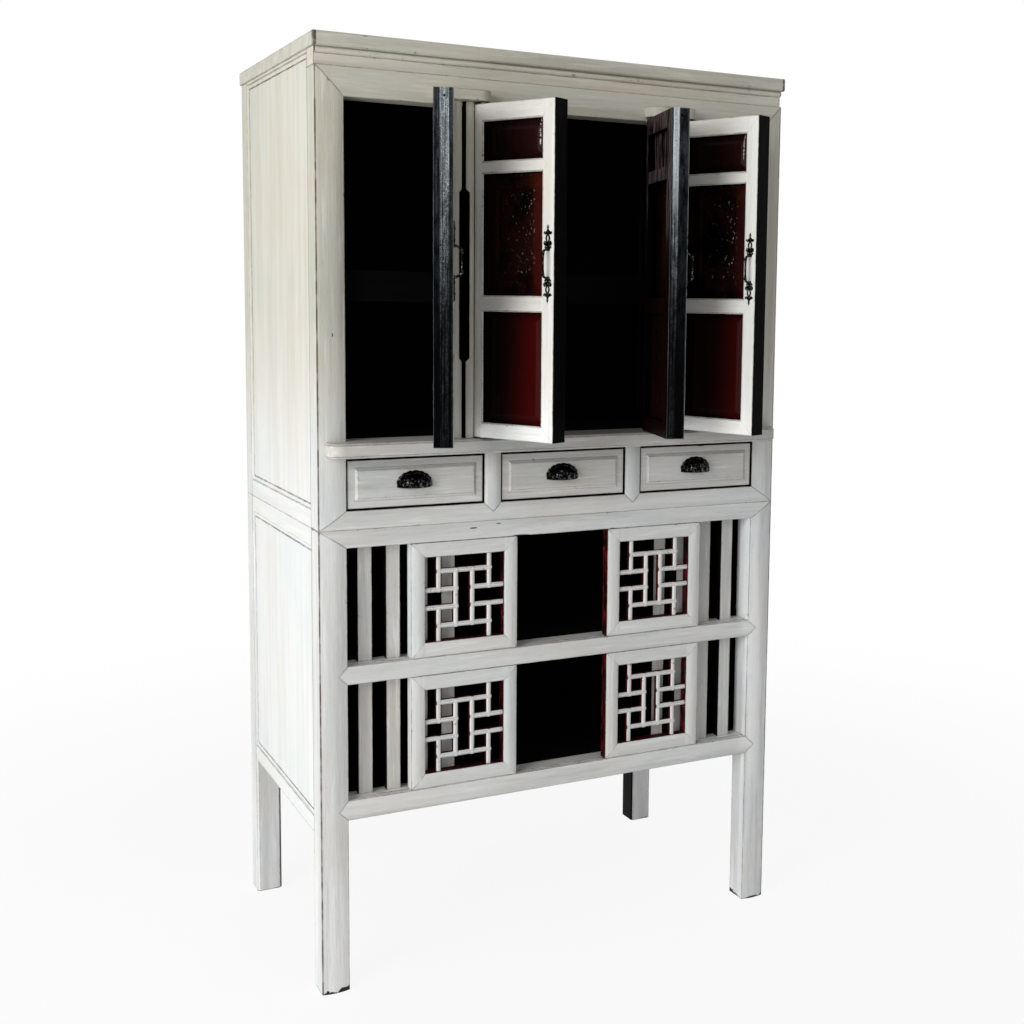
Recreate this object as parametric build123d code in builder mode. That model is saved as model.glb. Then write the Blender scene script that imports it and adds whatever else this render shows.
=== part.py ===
from build123d import *
import os
from math import cos, radians, sin

os.makedirs("parts", exist_ok=True)

# Two-part kitchen cupboard: an upper case with four pivoting doors over three drawers, stacked
# on a lower case on legs with two tiers of sliding lattice doors between fixed slats.
# Millimetres. X to the right, Y to the back, Z up, floor at Z = 0.

# ------------------------------------------------------------------ driving sizes
# the whole carcass
WIDTH = 1060.0            # over the outer faces of the posts
DEPTH = 605.0             # from the posts' front faces to their back faces
POST = 56.0               # square posts
CROWN = 4.0               # rise of the rounded front faces over their edges
GLUE_LINE = 0.2           # hairline between members that are jointed inside one sub-assembly
POST_EDGE = 5.0           # chamfer on the back posts
OVERCUT = 1.0             # how far a cutting shape passes beyond what it cuts
RAIL_THICK = 30.0         # side and back rails
BACK_SET = 8.0            # back rails behind the posts' back faces
PANEL_THICK = 10.0        # side and back panels
PANEL_SET = 3.0           # side panels behind the posts' outer faces
BEAD_IN = 9.0             # bead line inside a side panel's edge
BEAD_CUT = 2.0            # width and depth of the groove that makes the bead
BOARD_THICK = 18.0        # shelves and floors

# lower case, from the floor up
LEG_CLEAR = 356.0         # floor to the front bottom rail
BOTTOM_RAIL = 40.0
MIDDLE_RAIL = 37.0
LOWER_TOP_RAIL = 36.5
LOWER_HEIGHT = 947.0
SIDE_LEG_CLEAR = 324.0    # floor to the side bottom rails
SIDE_BOTTOM_RAIL = 33.0

# sliding lattice doors and fixed slats
SLIDER_THICK = 25.0
SLIDER_SET = 3.0          # behind the rails' crowns
SLIDER_FRAME = 30.0       # width of the mitred frame
SLIDER_CROWN = 3.0
SLIDER_PLAY = 3.0         # a door is this much narrower than its half of the middle bay
SLIDER_TOP_GAP = 1.2
RUN_GAP = 0.3             # gap under what slides or turns on its seat
SLIDER_REST = 107.0       # from the middle of the cupboard to each open door's inner edge
TONGUE_THICK = 8.0
TONGUE_HIGH = 6.0
GROOVE_THICK = 9.0
GROOVE_DEEP = 8.0
LATTICE_BAR = 10.0
LATTICE_BEVEL = 3.0
LATTICE_THICK = 12.0
LATTICE_SET = 6.0         # lattice face behind the frame's crown
LATTICE_OUTER = 0.18      # bar lines as shares of the opening
LATTICE_INNER = 0.395
SLATS_A_SIDE = 4
SLAT_WIDE = 29.0
SLAT_THICK = 15.0
SLAT_SET = 32.0

# upper case, from the joint up
BASE_RAIL = 37.0
DRAWER_OPENING = 108.0
SILL = 30.0
DOOR_OPENING = 661.0
HEAD_RAIL = 56.0
FRIEZE = 22.0
FRIEZE_SET = 10.0
CORNICE_BEAD = 12.0
CORNICE_BEAD_RISE = 6.0
TOP_BOARD = 27.0
TOP_FRONT = 5.0           # top board beyond the posts at the front
TOP_SIDE = 3.0            # and at each side
TOP_EDGE_R = 4.0
SIDE_LIP = 6.0            # lip of the side top rail over the panel
SIDE_HEAD_RAIL = 30.0

# sill, pivot blocks and pivot posts
SILL_OUT = 38.0           # nose in front of the posts
SILL_HORN = 44.0          # horn past the post's inner edge
SILL_CORNER = 30.0
SILL_NOSE_EDGE = 4.0
BLOCK_WIDE = 116.0
BLOCK_HIGH = 21.0
BLOCK_OUT = 39.0
BLOCK_CORNER = 30.0
BLOCK_RISE = 7.0          # block's underside over the head rail's lower edge
PIVOT_POST_WIDE = 44.0
PIVOT_POST_OUT = 20.0
PIVOT_POST_IN = 18.0
PIVOT_CROWN = 3.5         # rise of each strip's rounded face
SLOT = 8.7                # slot between the two strips of a pivot post
NOTCH = 22.0              # the slot where it widens
NOTCH_LOW = 155.0         # from the sill's top to the widening
NOTCH_HIGH = 342.0

# pivoting doors
LEAF_THICK = 37.0
PIVOT_OUT = 20.0          # pivot axis in front of the posts' faces
PIVOT_GAP = 1.0           # between the round hinge edge and the pivot post
MEETING_GAP = 4.0         # between the two doors that meet in the middle
LEAF_LIFT = 3.0           # under the door
LEAF_LAP = 2.0            # door over the head rail
HINGE_STILE = 32.0
FREE_STILE = 32.0
LEAF_TOP_RAIL = 35.0
LEAF_UPPER_CROSS = 25.0
LEAF_LOWER_CROSS = 32.0
LEAF_BOTTOM_RAIL = 31.0
TOP_PANEL = 77.0          # height of the top panel
LOW_PANEL = 222.0         # height of the bottom panel
LEAF_EDGE = 2.0           # chamfer along the frame's openings and its free edge
LEAF_PANEL = 10.0         # thickness of a door panel's board
LEAF_PANEL_SET = 14.0     # board's face behind the frame's face
FIELD_RISE = 6.0
FIELD_ROOT = 1.0          # how deep a raised field is rooted in its board
FIELD_MARGIN = 4.0
FIELD_BEVEL = 14.0
CARVED_MARGIN = 10.0
CARVED_BEVEL = 12.0
DOWEL_R = 6.0
DOWEL_PLAY = 0.4
SOCKET_DEEP = 16.0
DOWEL_UP = 14.0           # dowel inside the block
OPEN_A = 68.5             # the doors stand open by these angles, left to right
OPEN_B = 63.0
OPEN_C = 75.5
OPEN_D = 68.0

# door pulls
PULL_UP = 346.5           # middle of the pull over the door's lower edge
PULL_LONG = 149.0
PULL_STAND = 18.0         # over the door's face
PULL_PLATE = 3.0
PULL_PLATE_WIDE = 13.0
GRIP_SPAN = 58.0          # between the middles of the grip's feet
GRIP_FLAT = 46.0          # straight stretch before the ends slope down to the plates
GRIP_THICK = 5.2
GRIP_EDGE = 1.3

# drawers
DRAWERS = 3
DIVIDER = 37.0
FRONT_PLAY = 3.5          # beside a drawer front
FRONT_LIFT = 4.0          # under it
FRONT_HIGH = 95.0
FRONT_SET = 7.0           # board's face behind the posts' crowns
FRONT_THICK = 15.0
FRONT_FIELD_RISE = 4.0
FRONT_FIELD_MARGIN = 20.0
FRONT_FIELD_BEVEL = 6.0
BOX_PLAY = 4.0            # beside the drawer's sides
BOX_LONG = 480.0
BOX_HIGH = 84.0
BOX_SIDE = 12.0
BOX_BOTTOM = 8.0
BOX_BOTTOM_LIFT = 4.0
GUIDE_HIGH = 20.0
GUIDE_WIDE = 26.0

# cup pulls
CUP_WIDE = 76.0
CUP_HIGH = 34.0
CUP_PLATE = 2.0
CUP_OUT = 24.0
CUP_WALL = 2.0
CUP_FACETS = 8            # facets round the cup's front
CUP_TIERS = 4             # and up its rounded hood
CUP_LOBES = 9
CUP_LOBE_R = 4.5
CUP_SHIFT = -6.0          # the cups sit a little left of the drawers' middles
CUP_UP = 42.0             # cup's lower edge over the drawer opening's lower edge

# shelf in the upper case
SHELF_RAIL_HIGH = 60.0
SHELF_RAIL_THICK = 22.0
SHELF_TOP = 333.0         # over the sill

# ------------------------------------------------------------------ derived sizes
OUTER = WIDTH / 2
INNER = OUTER - POST
BAY = INNER / 2           # half of each side's opening; the pivot posts' middles
LEAF_REACH = BAY - PIVOT_POST_WIDE / 2 - PIVOT_GAP - LEAF_THICK / 2 - MEETING_GAP / 2
FREE_MIDDLE = LEAF_REACH - FREE_STILE / 2

LEAVES = [
    # name, side of the middle, hand (-1 hangs on its right edge, 1 on its left), opening
    ("a", -1, -1, OPEN_A),
    ("b", -1, 1, OPEN_B),
    ("c", 1, -1, OPEN_C),
    ("d", 1, 1, OPEN_D),
]


def leaf_front(angle, along, out):
    """How far a point of an open door stands in front of the posts' faces."""
    return PIVOT_OUT + along * sin(radians(angle)) + out * cos(radians(angle))


PULL_FRONT = LEAF_THICK / 2 + PULL_STAND
OPEN_REACH = max(
    max(leaf_front(angle, LEAF_REACH, LEAF_THICK / 2), leaf_front(angle, FREE_MIDDLE, PULL_FRONT))
    for _, _, _, angle in LEAVES
)
FACE = (OPEN_REACH - DEPTH) / 2    # the origin lies under the middle of the cupboard as it stands
BACK = FACE + DEPTH
FRAME_BACK = FACE + POST
BACK_POST = BACK - POST
BACK_RAIL = BACK - BACK_SET - RAIL_THICK
BACK_PANEL = BACK_RAIL + (RAIL_THICK - PANEL_THICK) / 2
PANEL_OUT = OUTER - PANEL_SET
PANEL_IN = PANEL_OUT - PANEL_THICK
SIDE_RAIL_IN = OUTER - RAIL_THICK

TIER = (LOWER_HEIGHT - LOWER_TOP_RAIL - MIDDLE_RAIL - BOTTOM_RAIL - LEG_CLEAR) / 2
TIER_1 = LEG_CLEAR + BOTTOM_RAIL
MIDDLE_Z = TIER_1 + TIER
TIER_2 = MIDDLE_Z + MIDDLE_RAIL
LOWER_TOP_Z = TIER_2 + TIER

DRAWER_Z = LOWER_HEIGHT + BASE_RAIL
SILL_Z = DRAWER_Z + DRAWER_OPENING
SILL_TOP = SILL_Z + SILL
HEAD_Z = SILL_TOP + DOOR_OPENING
FRIEZE_Z = HEAD_Z + HEAD_RAIL
CORNICE_Z = FRIEZE_Z + FRIEZE
TOP_Z = CORNICE_Z + CORNICE_BEAD
BLOCK_Z = HEAD_Z + BLOCK_RISE
DRAWER_BAY = (2 * INNER - (DRAWERS - 1) * DIVIDER) / DRAWERS
DIVIDERS = [-INNER + (i + 1) * DRAWER_BAY + (i + 0.5) * DIVIDER for i in range(DRAWERS - 1)]
DRAWER_MIDDLES = [-INNER + (i + 0.5) * DRAWER_BAY + i * DIVIDER for i in range(DRAWERS)]


# ------------------------------------------------------------------ shared shapes
def board(x0, x1, y0, y1, z0, z1, mode=Mode.ADD):
    """Square-edged board between six planes."""
    with BuildSketch(Plane.XY.offset(z0)) as outline:
        with Locations(((x0 + x1) / 2, (y0 + y1) / 2)):
            Rectangle(x1 - x0, y1 - y0)
    extrude(outline.sketch, amount=z1 - z0, mode=mode)


def crowned_upright(x0, x1, y0, y1, z0, z1, crown=CROWN, mode=Mode.ADD):
    """Upright member whose front face is a shallow arc."""
    with BuildSketch(Plane.XY.offset(z0)) as section:
        with BuildLine():
            Polyline((x0, y0 + crown), (x0, y1), (x1, y1), (x1, y0 + crown))
            ThreePointArc((x1, y0 + crown), ((x0 + x1) / 2, y0), (x0, y0 + crown))
        make_face()
    extrude(section.sketch, amount=z1 - z0, mode=mode)


def crowned_rail(x0, x1, y0, y1, z0, z1, crown=CROWN, mode=Mode.ADD):
    """Level member whose front face is a shallow arc."""
    with BuildSketch(Plane.YZ.offset(x0)) as section:
        with BuildLine():
            Polyline((y0 + crown, z0), (y1, z0), (y1, z1), (y0 + crown, z1))
            ThreePointArc((y0 + crown, z1), (y0, (z0 + z1) / 2), (y0 + crown, z0))
        make_face()
    extrude(section.sketch, amount=x1 - x0, mode=mode)


def front_shape(points, y0, y1, mode=Mode.ADD):
    """Prism on a front-view outline of (x, z) points, from y0 back to y1."""
    with BuildSketch(Plane.XZ.offset(-y1)) as outline:
        with BuildLine():
            Polyline(*points, close=True)
        make_face()
    extrude(outline.sketch, amount=y1 - y0, mode=mode)


def raised_field(rise, width, height, bevel):
    """Field that stands forward of the plane Y = 0 on four bevels, rooted behind it."""
    with BuildPart() as field:
        with BuildSketch(Plane.XZ.offset(-FIELD_ROOT)):
            Rectangle(width, height)
        extrude(amount=rise + FIELD_ROOT)
        face = field.faces().sort_by(Axis.Y)[0]
        chamfer(face.edges(), length=bevel, length2=rise, reference=face)
    return field.part


def pointed(z0, z1):
    """Front outline of a rail whose ends are pointed into the posts."""
    half = (z1 - z0) / 2
    middle = z0 + half
    tip = INNER + half
    return [(-INNER, z0), (INNER, z0), (tip, middle), (INNER, z1), (-INNER, z1), (-tip, middle)]


def point_notch(z0, z1):
    """The right post's notch for a pointed rail end, listed downwards."""
    half = (z1 - z0) / 2
    return [(INNER, z1), (INNER + half, z0 + half), (INNER, z0)]


# ------------------------------------------------------------------ lower case
with BuildPart() as lower_posts_front:
    crowned_upright(INNER, OUTER, FACE, FRAME_BACK, 0, LOWER_HEIGHT)
    front_shape(
        [(INNER, 0), (OUTER, 0), (OUTER, LOWER_HEIGHT), (INNER, LOWER_TOP_Z)]
        + point_notch(MIDDLE_Z, TIER_2)
        + point_notch(LEG_CLEAR, TIER_1),
        FACE - OVERCUT,
        FRAME_BACK,
        mode=Mode.INTERSECT,
    )
    mirror(about=Plane.YZ)

with BuildPart() as lower_posts_back:
    board(INNER, OUTER, BACK_POST, BACK, 0, LOWER_HEIGHT)
    chamfer(lower_posts_back.edges().filter_by(Axis.Z), length=POST_EDGE)
    mirror(about=Plane.YZ)

with BuildPart() as lower_top_rail:
    crowned_rail(-OUTER, OUTER, FACE, FRAME_BACK, LOWER_TOP_Z, LOWER_HEIGHT)
    front_shape(
        [(-INNER, LOWER_TOP_Z), (INNER, LOWER_TOP_Z), (OUTER, LOWER_HEIGHT), (-OUTER, LOWER_HEIGHT)],
        FACE - OVERCUT,
        FRAME_BACK,
        mode=Mode.INTERSECT,
    )

with BuildPart() as lower_middle_rail:
    crowned_rail(-OUTER, OUTER, FACE, FRAME_BACK, MIDDLE_Z, TIER_2)
    front_shape(pointed(MIDDLE_Z, TIER_2), FACE - OVERCUT, FRAME_BACK, mode=Mode.INTERSECT)

with BuildPart() as lower_bottom_rail:
    crowned_rail(-OUTER, OUTER, FACE, FRAME_BACK, LEG_CLEAR, TIER_1)
    front_shape(pointed(LEG_CLEAR, TIER_1), FACE - OVERCUT, FRAME_BACK, mode=Mode.INTERSECT)

# running grooves for the sliding doors' tongues, in the rails over and under each tier
GROOVE_Y = FACE + SLIDER_SET + SLIDER_THICK / 2
GROOVE_FRONT = GROOVE_Y - GROOVE_THICK / 2
GROOVE_REAR = GROOVE_Y + GROOVE_THICK / 2
with lower_top_rail:
    board(-INNER, INNER, GROOVE_FRONT, GROOVE_REAR, LOWER_TOP_Z, LOWER_TOP_Z + GROOVE_DEEP,
          mode=Mode.SUBTRACT)
with lower_middle_rail:
    board(-INNER, INNER, GROOVE_FRONT, GROOVE_REAR, MIDDLE_Z, MIDDLE_Z + GROOVE_DEEP,
          mode=Mode.SUBTRACT)
    board(-INNER, INNER, GROOVE_FRONT, GROOVE_REAR, TIER_2 - GROOVE_DEEP, TIER_2,
          mode=Mode.SUBTRACT)
with lower_bottom_rail:
    board(-INNER, INNER, GROOVE_FRONT, GROOVE_REAR, TIER_1 - GROOVE_DEEP, TIER_1,
          mode=Mode.SUBTRACT)

with BuildPart() as lower_side_rails:
    SIDE_BOTTOM_TOP = SIDE_LEG_CLEAR + SIDE_BOTTOM_RAIL
    board(SIDE_RAIL_IN, OUTER, FRAME_BACK, BACK_POST, SIDE_LEG_CLEAR, SIDE_BOTTOM_TOP)
    board(SIDE_RAIL_IN, OUTER, FRAME_BACK, BACK_POST, LOWER_TOP_Z, LOWER_HEIGHT)
    mirror(about=Plane.YZ)


def side_panel(z0, z1):
    """Right-hand panel between the posts, with a groove that leaves a bead round its edge."""
    board(PANEL_IN, PANEL_OUT, FRAME_BACK, BACK_POST, z0, z1)
    middle = ((FRAME_BACK + BACK_POST) / 2, (z0 + z1) / 2)
    width = BACK_POST - FRAME_BACK - 2 * BEAD_IN
    height = z1 - z0 - 2 * BEAD_IN
    with BuildSketch(Plane.YZ.offset(PANEL_OUT)) as groove:
        with Locations(middle):
            Rectangle(width, height)
            Rectangle(width - 2 * BEAD_CUT, height - 2 * BEAD_CUT, mode=Mode.SUBTRACT)
    extrude(groove.sketch, amount=-BEAD_CUT, mode=Mode.SUBTRACT)


with BuildPart() as lower_side_panels:
    side_panel(SIDE_BOTTOM_TOP, LOWER_TOP_Z)
    mirror(about=Plane.YZ)

BACK_BOARDS_A_TIER = 3
with BuildPart() as lower_back:
    back_rails = [(LEG_CLEAR, TIER_1), (MIDDLE_Z, TIER_2), (LOWER_TOP_Z, LOWER_HEIGHT)]
    for z0, z1 in back_rails:
        board(-INNER, INNER, BACK_RAIL, BACK_RAIL + RAIL_THICK, z0, z1)
    pitch = TIER / BACK_BOARDS_A_TIER
    for floor in (TIER_1, TIER_2):
        for i in range(BACK_BOARDS_A_TIER):
            z0 = floor + i * pitch + GLUE_LINE / 2
            board(-INNER, INNER, BACK_PANEL, BACK_PANEL + PANEL_THICK, z0, z0 + pitch - GLUE_LINE)

SLAT_ROOM = (INNER - BAY) / SLATS_A_SIDE
with BuildPart() as lower_slats:
    for floor in (TIER_1, TIER_2):
        for i in range(SLATS_A_SIDE):
            x = INNER - (i + 1) * SLAT_ROOM + SLAT_WIDE / 2
            board(x - SLAT_WIDE / 2, x + SLAT_WIDE / 2, FACE + SLAT_SET,
                  FACE + SLAT_SET + SLAT_THICK, floor, floor + TIER)
    mirror(about=Plane.YZ)


def case_board(z1, half_wide):
    """Shelf or floor from the front rails to the back rails, notched round the back posts."""
    board(-half_wide, half_wide, FRAME_BACK, BACK_POST, z1 - BOARD_THICK, z1)
    board(-INNER, INNER, BACK_POST, BACK_RAIL, z1 - BOARD_THICK, z1)


with BuildPart() as lower_shelves:
    case_board(TIER_1, PANEL_IN)
    case_board(TIER_2, PANEL_IN)

# ------------------------------------------------------------------ upper case
with BuildPart() as upper_posts_front:
    crowned_upright(INNER, OUTER, FACE, FRAME_BACK, LOWER_HEIGHT, FRIEZE_Z)
    front_shape(
        [(INNER, DRAWER_Z), (OUTER, LOWER_HEIGHT), (OUTER, FRIEZE_Z), (INNER, HEAD_Z)],
        FACE - OVERCUT,
        FRAME_BACK,
        mode=Mode.INTERSECT,
    )
    mirror(about=Plane.YZ)

with BuildPart() as upper_posts_back:
    board(INNER, OUTER, BACK_POST, BACK, LOWER_HEIGHT, TOP_Z)
    chamfer(upper_posts_back.edges().filter_by(Axis.Z), length=POST_EDGE)
    mirror(about=Plane.YZ)

with BuildPart() as upper_top_rail:
    crowned_rail(-OUTER, OUTER, FACE, FRAME_BACK, HEAD_Z, FRIEZE_Z)
    front_shape(
        [(-INNER, HEAD_Z), (INNER, HEAD_Z), (OUTER, FRIEZE_Z), (-OUTER, FRIEZE_Z)],
        FACE - OVERCUT,
        FRAME_BACK,
        mode=Mode.INTERSECT,
    )

with BuildPart() as upper_bottom_rail:
    crowned_rail(-OUTER, OUTER, FACE, FRAME_BACK, LOWER_HEIGHT, DRAWER_Z)
    notches = []
    for x in reversed(DIVIDERS):
        half = DIVIDER / 2
        notches += [(x + half, DRAWER_Z), (x, DRAWER_Z - half), (x - half, DRAWER_Z)]
    front_shape(
        [(-OUTER, LOWER_HEIGHT), (OUTER, LOWER_HEIGHT), (INNER, DRAWER_Z)]
        + notches
        + [(-INNER, DRAWER_Z)],
        FACE - OVERCUT,
        FRAME_BACK,
        mode=Mode.INTERSECT,
    )

with BuildPart() as drawer_dividers:
    for x in DIVIDERS:
        half = DIVIDER / 2
        crowned_upright(x - half, x + half, FACE, FRAME_BACK, DRAWER_Z - half, SILL_Z)
        front_shape([(x - half, DRAWER_Z), (x - half, DRAWER_Z - half), (x, DRAWER_Z - half)],
                    FACE - OVERCUT, FRAME_BACK, mode=Mode.SUBTRACT)
        front_shape([(x + half, DRAWER_Z), (x + half, DRAWER_Z - half), (x, DRAWER_Z - half)],
                    FACE - OVERCUT, FRAME_BACK, mode=Mode.SUBTRACT)

with BuildPart() as upper_side_rails:
    board(SIDE_RAIL_IN, OUTER, FRAME_BACK, BACK_POST, LOWER_HEIGHT, DRAWER_Z)
    lip_z = TOP_Z - SIDE_LIP
    rail_z = TOP_Z - SIDE_HEAD_RAIL
    rail_in = PANEL_IN - RAIL_THICK
    front_shape(
        [(OUTER, lip_z), (OUTER, TOP_Z), (rail_in, TOP_Z), (rail_in, rail_z), (PANEL_IN, rail_z),
         (PANEL_IN, lip_z)],
        FRAME_BACK,
        BACK_POST,
    )
    mirror(about=Plane.YZ)

with BuildPart() as upper_side_panels:
    side_panel(DRAWER_Z, TOP_Z - SIDE_LIP)
    mirror(about=Plane.YZ)

BACK_BOARDS = 5
with BuildPart() as upper_back:
    head_back = TOP_Z - HEAD_RAIL
    board(-INNER, INNER, BACK_RAIL, BACK_RAIL + RAIL_THICK, LOWER_HEIGHT, DRAWER_Z)
    board(-INNER, INNER, BACK_RAIL, BACK_RAIL + RAIL_THICK, head_back, TOP_Z)
    pitch = 2 * INNER / BACK_BOARDS
    for i in range(BACK_BOARDS):
        x = -INNER + i * pitch + GLUE_LINE / 2
        board(x, x + pitch - GLUE_LINE, BACK_PANEL, BACK_PANEL + PANEL_THICK,
              DRAWER_Z + GLUE_LINE, head_back - GLUE_LINE)

with BuildPart() as cornice_frieze:
    board(-OUTER, OUTER, FACE + FRIEZE_SET, FRAME_BACK, FRIEZE_Z, CORNICE_Z)
    bead_face = FACE + FRIEZE_SET - CORNICE_BEAD_RISE
    crowned_rail(-OUTER, OUTER, bead_face, FRAME_BACK, CORNICE_Z, TOP_Z, crown=CORNICE_BEAD_RISE)

with BuildPart() as top_board:
    board(-OUTER - TOP_SIDE, OUTER + TOP_SIDE, FACE - TOP_FRONT, BACK, TOP_Z, TOP_Z + TOP_BOARD)
    fillet(top_board.edges().filter_by(Axis.X).group_by(Axis.Y)[0], radius=TOP_EDGE_R)

PIVOT_X = PIVOT_POST_WIDE / 2 + PIVOT_GAP + LEAF_THICK / 2
PIVOTS = [side * BAY + hand * PIVOT_X for _, side, hand, _ in LEAVES]


def pivot_sockets(z0, deep):
    """Round sockets for the doors' dowels."""
    with BuildSketch(Plane.XY.offset(z0)) as holes:
        with Locations(*[(x, FACE - PIVOT_OUT) for x in PIVOTS]):
            Circle(DOWEL_R + DOWEL_PLAY)
    extrude(holes.sketch, amount=deep, mode=Mode.SUBTRACT)


with BuildPart() as sill:
    horn = INNER + SILL_HORN
    with BuildSketch(Plane.XY.offset(SILL_Z)) as sill_nose:
        with Locations((0, FACE + (CROWN - SILL_OUT) / 2)):
            Rectangle(2 * horn, SILL_OUT + CROWN)
        fillet(sill_nose.vertices().group_by(Axis.Y)[0], radius=SILL_CORNER)
    extrude(amount=SILL)
    nose_edges = sill.edges().filter_by(
        lambda e: e.center().Y < FACE - SILL_OUT / 4 and abs(e.tangent_at(0.5).Z) < 0.1
    )
    chamfer(nose_edges, length=SILL_NOSE_EDGE)
    board(-INNER, INNER, FACE, FRAME_BACK, SILL_Z, SILL_TOP)
    for side in (-1, 1):
        inner, outer = sorted((side * INNER, side * OUTER))
        crowned_upright(inner, outer, FACE, FRAME_BACK, SILL_Z - OVERCUT, SILL_TOP + OVERCUT,
                        mode=Mode.SUBTRACT)
    pivot_sockets(SILL_TOP, -SOCKET_DEEP)

with BuildPart() as pivot_blocks:
    for side in (-1, 1):
        with BuildSketch(Plane.XY.offset(BLOCK_Z)) as block:
            with Locations((side * BAY, FACE + (CROWN - BLOCK_OUT) / 2)):
                Rectangle(BLOCK_WIDE, BLOCK_OUT + CROWN)
            fillet(block.vertices().group_by(Axis.Y)[0], radius=BLOCK_CORNER)
        extrude(amount=BLOCK_HIGH)
    crowned_rail(-OUTER, OUTER, FACE, FRAME_BACK, HEAD_Z, FRIEZE_Z, mode=Mode.SUBTRACT)
    pivot_sockets(BLOCK_Z, SOCKET_DEEP)


def pivot_strip(middle, side):
    """One strip of a pivot post, rounded in front; its inner edge steps back along the slot's
    wide stretch, and its top is notched under the head rail."""
    step = (NOTCH - SLOT) / 2
    low = SILL_TOP + NOTCH_LOW
    high = low + NOTCH_HIGH
    edge = [
        (PIVOT_POST_WIDE / 2, SILL_TOP),
        (PIVOT_POST_WIDE / 2, BLOCK_Z),
        (SLOT / 2, BLOCK_Z),
        (SLOT / 2, high),
        (SLOT / 2 + step, high - step),
        (SLOT / 2 + step, low + step),
        (SLOT / 2, low),
        (SLOT / 2, SILL_TOP),
    ]
    x0, x1 = sorted((middle + side * SLOT / 2, middle + side * PIVOT_POST_WIDE / 2))
    front = FACE - PIVOT_POST_OUT
    rear = FACE + PIVOT_POST_IN
    with BuildPart() as strip:
        crowned_upright(x0, x1, front, rear, SILL_TOP, BLOCK_Z, crown=PIVOT_CROWN)
        front_shape([(middle + side * x, z) for x, z in edge], front - OVERCUT, rear,
                    mode=Mode.INTERSECT)
        board(x0, x1, FACE, rear, HEAD_Z, BLOCK_Z, mode=Mode.SUBTRACT)
    return strip.part


strips = [pivot_strip(middle, side) for middle in (-BAY, BAY) for side in (-1, 1)]
with BuildPart() as pivot_posts:
    add(strips)

with BuildPart() as cupboard_floor:
    case_board(SILL_TOP, PANEL_IN)

with BuildPart() as drawer_deck:
    case_board(DRAWER_Z, SIDE_RAIL_IN)
    for x in DIVIDERS:
        board(x - DIVIDER / 2, x + DIVIDER / 2, FRAME_BACK, BACK_RAIL,
              DRAWER_Z + GLUE_LINE, DRAWER_Z + GUIDE_HIGH)
    for side in (-1, 1):
        x0, x1 = sorted((side * INNER, side * SIDE_RAIL_IN))
        board(x0, x1, FRAME_BACK, BACK_POST, DRAWER_Z + GLUE_LINE, DRAWER_Z + GUIDE_HIGH)

with BuildPart() as shelf:
    shelf_z = SILL_TOP + SHELF_TOP
    case_board(shelf_z, PANEL_IN)
    board(-INNER, INNER, FRAME_BACK - SHELF_RAIL_THICK, FRAME_BACK - GLUE_LINE,
          shelf_z - SHELF_RAIL_HIGH, shelf_z)

# ------------------------------------------------------------------ pivoting doors
# A door is drawn closed, in its own frame: pivot axis at X = Y = 0, front face at -LEAF_R, heights
# as in the cupboard. Lengths u along it run from the pivot to the free edge; hand gives their side.
LEAF_R = LEAF_THICK / 2            # the hinge edge is a half round about the pivot axis
LEAF_Z = SILL_TOP + LEAF_LIFT
LEAF_TOP = HEAD_Z + LEAF_LAP
HINGE_IN = HINGE_STILE - LEAF_R
HINGE_OUT = -LEAF_R - OVERCUT
FREE_IN = LEAF_REACH - FREE_STILE
LOW_PANEL_Z = LEAF_Z + LEAF_BOTTOM_RAIL
CROSS_Z = LOW_PANEL_Z + LOW_PANEL
CARVED_Z = CROSS_Z + LEAF_LOWER_CROSS
TOP_RAIL_Z = LEAF_TOP - LEAF_TOP_RAIL
TOP_PANEL_Z = TOP_RAIL_Z - TOP_PANEL
UPPER_CROSS_Z = TOP_PANEL_Z - LEAF_UPPER_CROSS
CROSS_RAILS = [(UPPER_CROSS_Z, TOP_PANEL_Z), (CROSS_Z, CARVED_Z)]
PLAIN_PANELS = [(LOW_PANEL_Z, CROSS_Z), (TOP_PANEL_Z, TOP_RAIL_Z)]
PANEL_WIDE = FREE_IN - HINGE_IN
PANEL_MIDDLE = (FREE_IN + HINGE_IN) / 2
PANEL_FACE = LEAF_PANEL_SET - LEAF_R


def leaf_place(side, hand, angle):
    """Frame of a door that stands open by an angle: X along its front, Y to its back."""
    turn = radians(angle)
    right = Vector(cos(turn), -hand * sin(turn), 0)
    origin = (side * BAY + hand * PIVOT_X, FACE - PIVOT_OUT, 0)
    return Plane(origin=origin, x_dir=right, z_dir=(0, 0, 1))


def stile_outline(inner, outer):
    """Front outline of a stile: mitred at both ends, notched for the pointed cross rails."""
    out = 1 if outer > inner else -1
    hair = GLUE_LINE
    points = [(inner, LOW_PANEL_Z + hair), (outer, LEAF_Z + hair), (outer, LEAF_TOP - hair),
              (inner, TOP_RAIL_Z - hair)]
    for z0, z1 in CROSS_RAILS:
        half = (z1 - z0) / 2
        points += [(inner, z1 + hair), (inner + out * (half + hair), z0 + half),
                   (inner, z0 - hair)]
    return points


def end_rail_outline(edge_z, inner_z):
    """Front outline of a top or bottom rail, mitred into both stiles."""
    return [(HINGE_IN, inner_z), (FREE_IN, inner_z), (LEAF_REACH, edge_z), (HINGE_OUT, edge_z)]


def cross_rail_outline(z0, z1):
    """Front outline of a cross rail, pointed into both stiles."""
    half = (z1 - z0) / 2
    return [(HINGE_IN, z0), (FREE_IN, z0), (FREE_IN + half, z0 + half), (FREE_IN, z1),
            (HINGE_IN, z1), (HINGE_IN - half, z0 + half)]


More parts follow.
